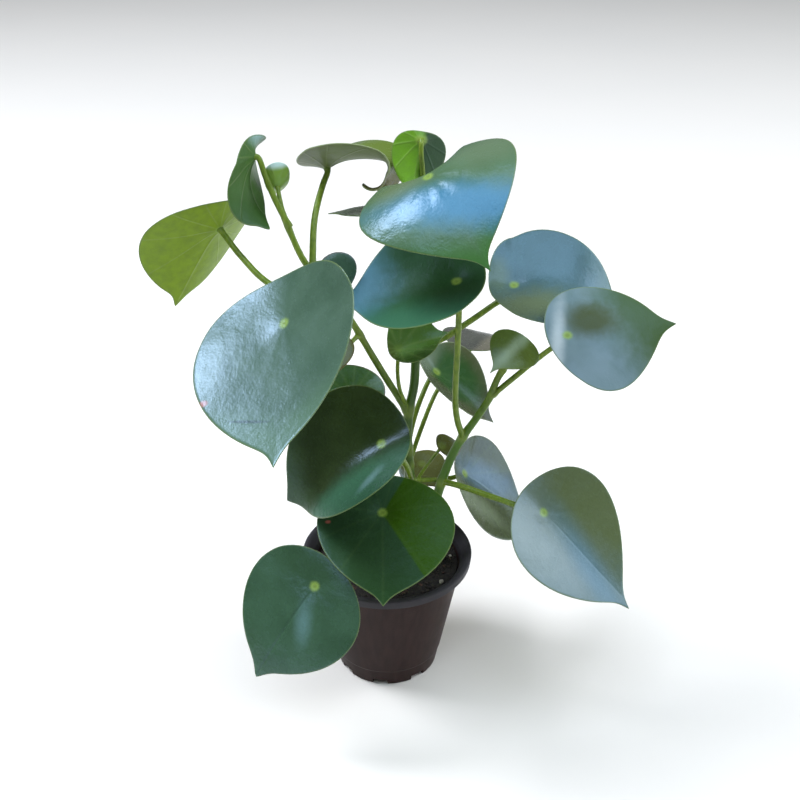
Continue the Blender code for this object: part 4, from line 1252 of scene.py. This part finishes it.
def smooth_line(points, spacing):
    """Points about evenly spaced on a smooth curve through the given points."""
    path = [Vector(p) for p in points]
    path = [2 * path[0] - path[1], *path, 2 * path[-1] - path[-2]]
    line = []
    for a, b, c, d in zip(path, path[1:], path[2:], path[3:]):
        before, span, after = (sqrt((q - p).length) for p, q in ((a, b), (b, c), (c, d)))
        leave = (c - b) + span * ((b - a) / before - (c - a) / (before + span))
        arrive = (c - b) + span * ((d - c) / after - (d - b) / (span + after))
        steps = max(1, round((c - b).length / spacing))
        for count in range(steps):
            t = count / steps
            line.append(
                b * (2 * t ** 3 - 3 * t * t + 1) + leave * (t ** 3 - 2 * t * t + t)
                + c * (3 * t * t - 2 * t ** 3) + arrive * (t ** 3 - t * t)
            )
    line.append(path[-2])
    return line


def shoot(name, finish, points, first_radius, last_radius, joints=(), foot_swell=0.0,
          end_swell=0.0):
    """A tapering round shoot that swells at its joints and its two ends."""
    line = smooth_line(points, SHOOT_SPACING)
    run = [0.0]
    for before, after in zip(line, line[1:]):
        run.append(run[-1] + (after - before).length)
    radii, marks = [], []
    for place, distance in zip(line, run):
        share = distance / run[-1]
        near = max((exp(-((place - Vector(joint)).length / JOINT_REACH) ** 2)
                    for joint in joints), default=0.0)
        at_foot = exp(-(distance / FOOT_SWELL_REACH) ** 2)
        at_end = exp(-((run[-1] - distance) / END_SWELL_REACH) ** 2)
        radius = first_radius + (last_radius - first_radius) * share
        swell = 1 + JOINT_SWELL * near + foot_swell * at_foot + end_swell * at_end
        radii.append(radius * swell * MM)
        marks.append(max(near, at_foot if foot_swell else 0.0))
    mesh = bpy.data.meshes.new(name)
    mesh.from_pydata([place * MM for place in line],
                     [(index, index + 1) for index in range(len(line) - 1)], [])
    for label, values in (("shoot_radius", radii), ("shoot_joint", marks)):
        mesh.attributes.new(label, "FLOAT", "POINT").data.foreach_set("value", values)
    obj = bpy.data.objects.new(name, mesh)
    scene.collection.objects.link(obj)
    return run_tree(obj, tube_tree, Sides=SHOOT_SIDES, Unevenness=UNEVENNESS * MM, Finish=finish)


def grown_stem(name, finish, stem_points, first_radius, last_radius, side_shoots, stalks):
    """A stem with its shoots and stalks, joined to one body in place of its solid.

    side_shoots: each its points and its first and last radius. stalks: each its route,
    its blade's seat, its radius, and how far it runs straight into the blade.
    """
    group = bpy.data.collections.new(name + "_growth")
    scene.collection.children.link(group)
    growth = []
    joints = [stalk[0][0] for stalk in stalks]
    for points, first, last in side_shoots:
        growth.append(shoot(f"{name}_side", finish, points, first, last, joints, foot_swell=0.3))
    for route, end, radius, approach in stalks:
        seat, normal = end
        growth.append(shoot(f"{name}_stalk", finish, [*route, seat - normal * approach, seat],
                            radius * 1.15, radius, foot_swell=0.35, end_swell=0.45))
    for part in growth:
        scene.collection.objects.unlink(part)
        group.objects.link(part)
    joints += [side_shoot[0][0] for side_shoot in side_shoots]
    stem = shoot(name + "_grown", finish, stem_points, first_radius, last_radius, joints)
    union = stem.modifiers.new("grow", "BOOLEAN")
    union.operation = "UNION"
    union.operand_type = "COLLECTION"
    union.collection = group
    union.solver = "MANIFOLD"
    finished(stem)
    for part in growth:
        bpy.data.objects.remove(part, do_unlink=True)
    bpy.data.collections.remove(group)
    stem.data.set_sharp_from_angle(angle=radians(STEM_SHARP))
    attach(stem, "root")
    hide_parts(name)


foot_x, foot_y = UPRIGHT_FOOT
grown_stem(
    "stem_upright", stem_skin("dark_stem_skin", (0.036, 0.090, 0.006)),
    [(foot_x, foot_y, STEM_FOOT), (foot_x, foot_y, 84), (16, 9, 102), (15, 8, 130),
     (13, 8, 164), (14, 8, 185), (17, 8, 203), (18, 9, 228), (20, 12, 262),
     (20, 14, 300), (21, 14, 318)],
    3.6, 2.2,
    [([(13, 8, 184), (-5, -2, 222), (-19, -12, 254), (-31, -18, 277), (-44, -20, 294),
       (-55, -14, 318)], 2.2, 1.7)],
    [([(-28, -16, 271), (-35, -32, 272), (-42, -58, 276)], big_left, STALK_RADIUS, 6),
     ([(16, 8, 132), (13, -10, 154), (7, -28, 175)], dark_middle, STALK_RADIUS, 6),
     ([(16, 9, 92), (7, -16, 113), (0, -36, 132)], over_soil, STALK_RADIUS, 6),
     ([(16, 8, 98), (-4, -18, 106), (-25, -46, 106)], low_left, STALK_RADIUS, 6),
     ([(21, 14, 308), (24, -2, 326), (27, -24, 336)], saddle_top, STALK_RADIUS, 6),
     ([(18, 9, 228), (33, 13, 231), (50, 15, 242), (67, 19, 253)], upper_right, STALK_RADIUS, 6),
     ([(15, 8, 134), (32, 13, 131), (42, 20, 128)], folded_low_right, 1.5, 4),
     ([(13, 8, 158), (17, 14, 175), (22, 22, 187)], narrow_middle, 1.5, 6),
     ([(13, 8, 187), (8, -2, 206), (7, -10, 226)], young_middle, 1.1, 4),
     ([(14, 8, 146), (23, 21, 168), (32, 35, 184), (46, 52, 197)], level_behind, 1.3, 4),
     ([(-28, -16, 271), (-48, -18, 272), (-66, -15, 280), (-82, -2, 291)], far_left,
      STALK_RADIUS, 6),
     ([(-52, -16, 313), (-59, -15, 328), (-64, -13, 341)], upper_left, 1.5, 2.5),
     ([(-52, -16, 313), (-56, -10, 321)], bud_leaf, 1.2, 4),
     ([(-40, -20, 289), (-39, -5, 313), (-35, 14, 327)], arched_top, STALK_RADIUS, 3),
     ([(21, 14, 312), (21, 7, 335), (20, 4, 348)], youngest_top, 1.3, 3),
     ([(20, 13, 280), (10, 17, 295)], hidden_top, 1.4, 6),
     ([(-34, -19, 281), (-35, -22, 288)], small_behind_left, 1.2, 4),
     ([(-15, -9, 245), (-24, -24, 243)], small_left, 1.2, 4),
     ([(14, 8, 156), (0, 9, 174), (-15, 11, 186)], inner_left, 1.3, 6),
     ([(16, 8, 128), (25, 13, 141)], smallest_inner, 1.0, 4),
     ([(16, 9, 90), (20, 24, 100), (22, 36, 112)], inner_low, 1.3, 6)])


# Leaning stem
# A second, thicker shoot of the same green flesh, grown from its own root. It leans out
# to the right and carries four leaves.
LEANING_FOOT = (27, 2)

foot_x, foot_y = LEANING_FOOT
grown_stem(
    "stem_leaning", stem_skin("green_stem_skin", (0.060, 0.150, 0.010)),
    [(foot_x, foot_y, STEM_FOOT), (foot_x, foot_y, 86), (29, 2, 108), (33, 2, 130),
     (41, 0, 158), (47, -2, 172), (54, -4, 185), (62, -6, 201), (66, -8, 215),
     (70, -8, 223)],
    4.0, 1.9, [],
    [([(47, -2, 172), (43, -10, 188), (41, -16, 205), (41, -25, 243), (41, -31, 271)],
      upper_middle, STALK_RADIUS, 6),
     ([(64, -7, 204), (79, -11, 221), (87, -15, 231), (96, -22, 243)], cupped_right, 1.5, 6),
     ([(35, 2, 137), (47, -12, 142), (60, -22, 143), (80, -32, 141)], low_right,
      STALK_RADIUS, 3),
     ([(69, -8, 221), (72, -15, 232)], young_right, 1.6, 4)])
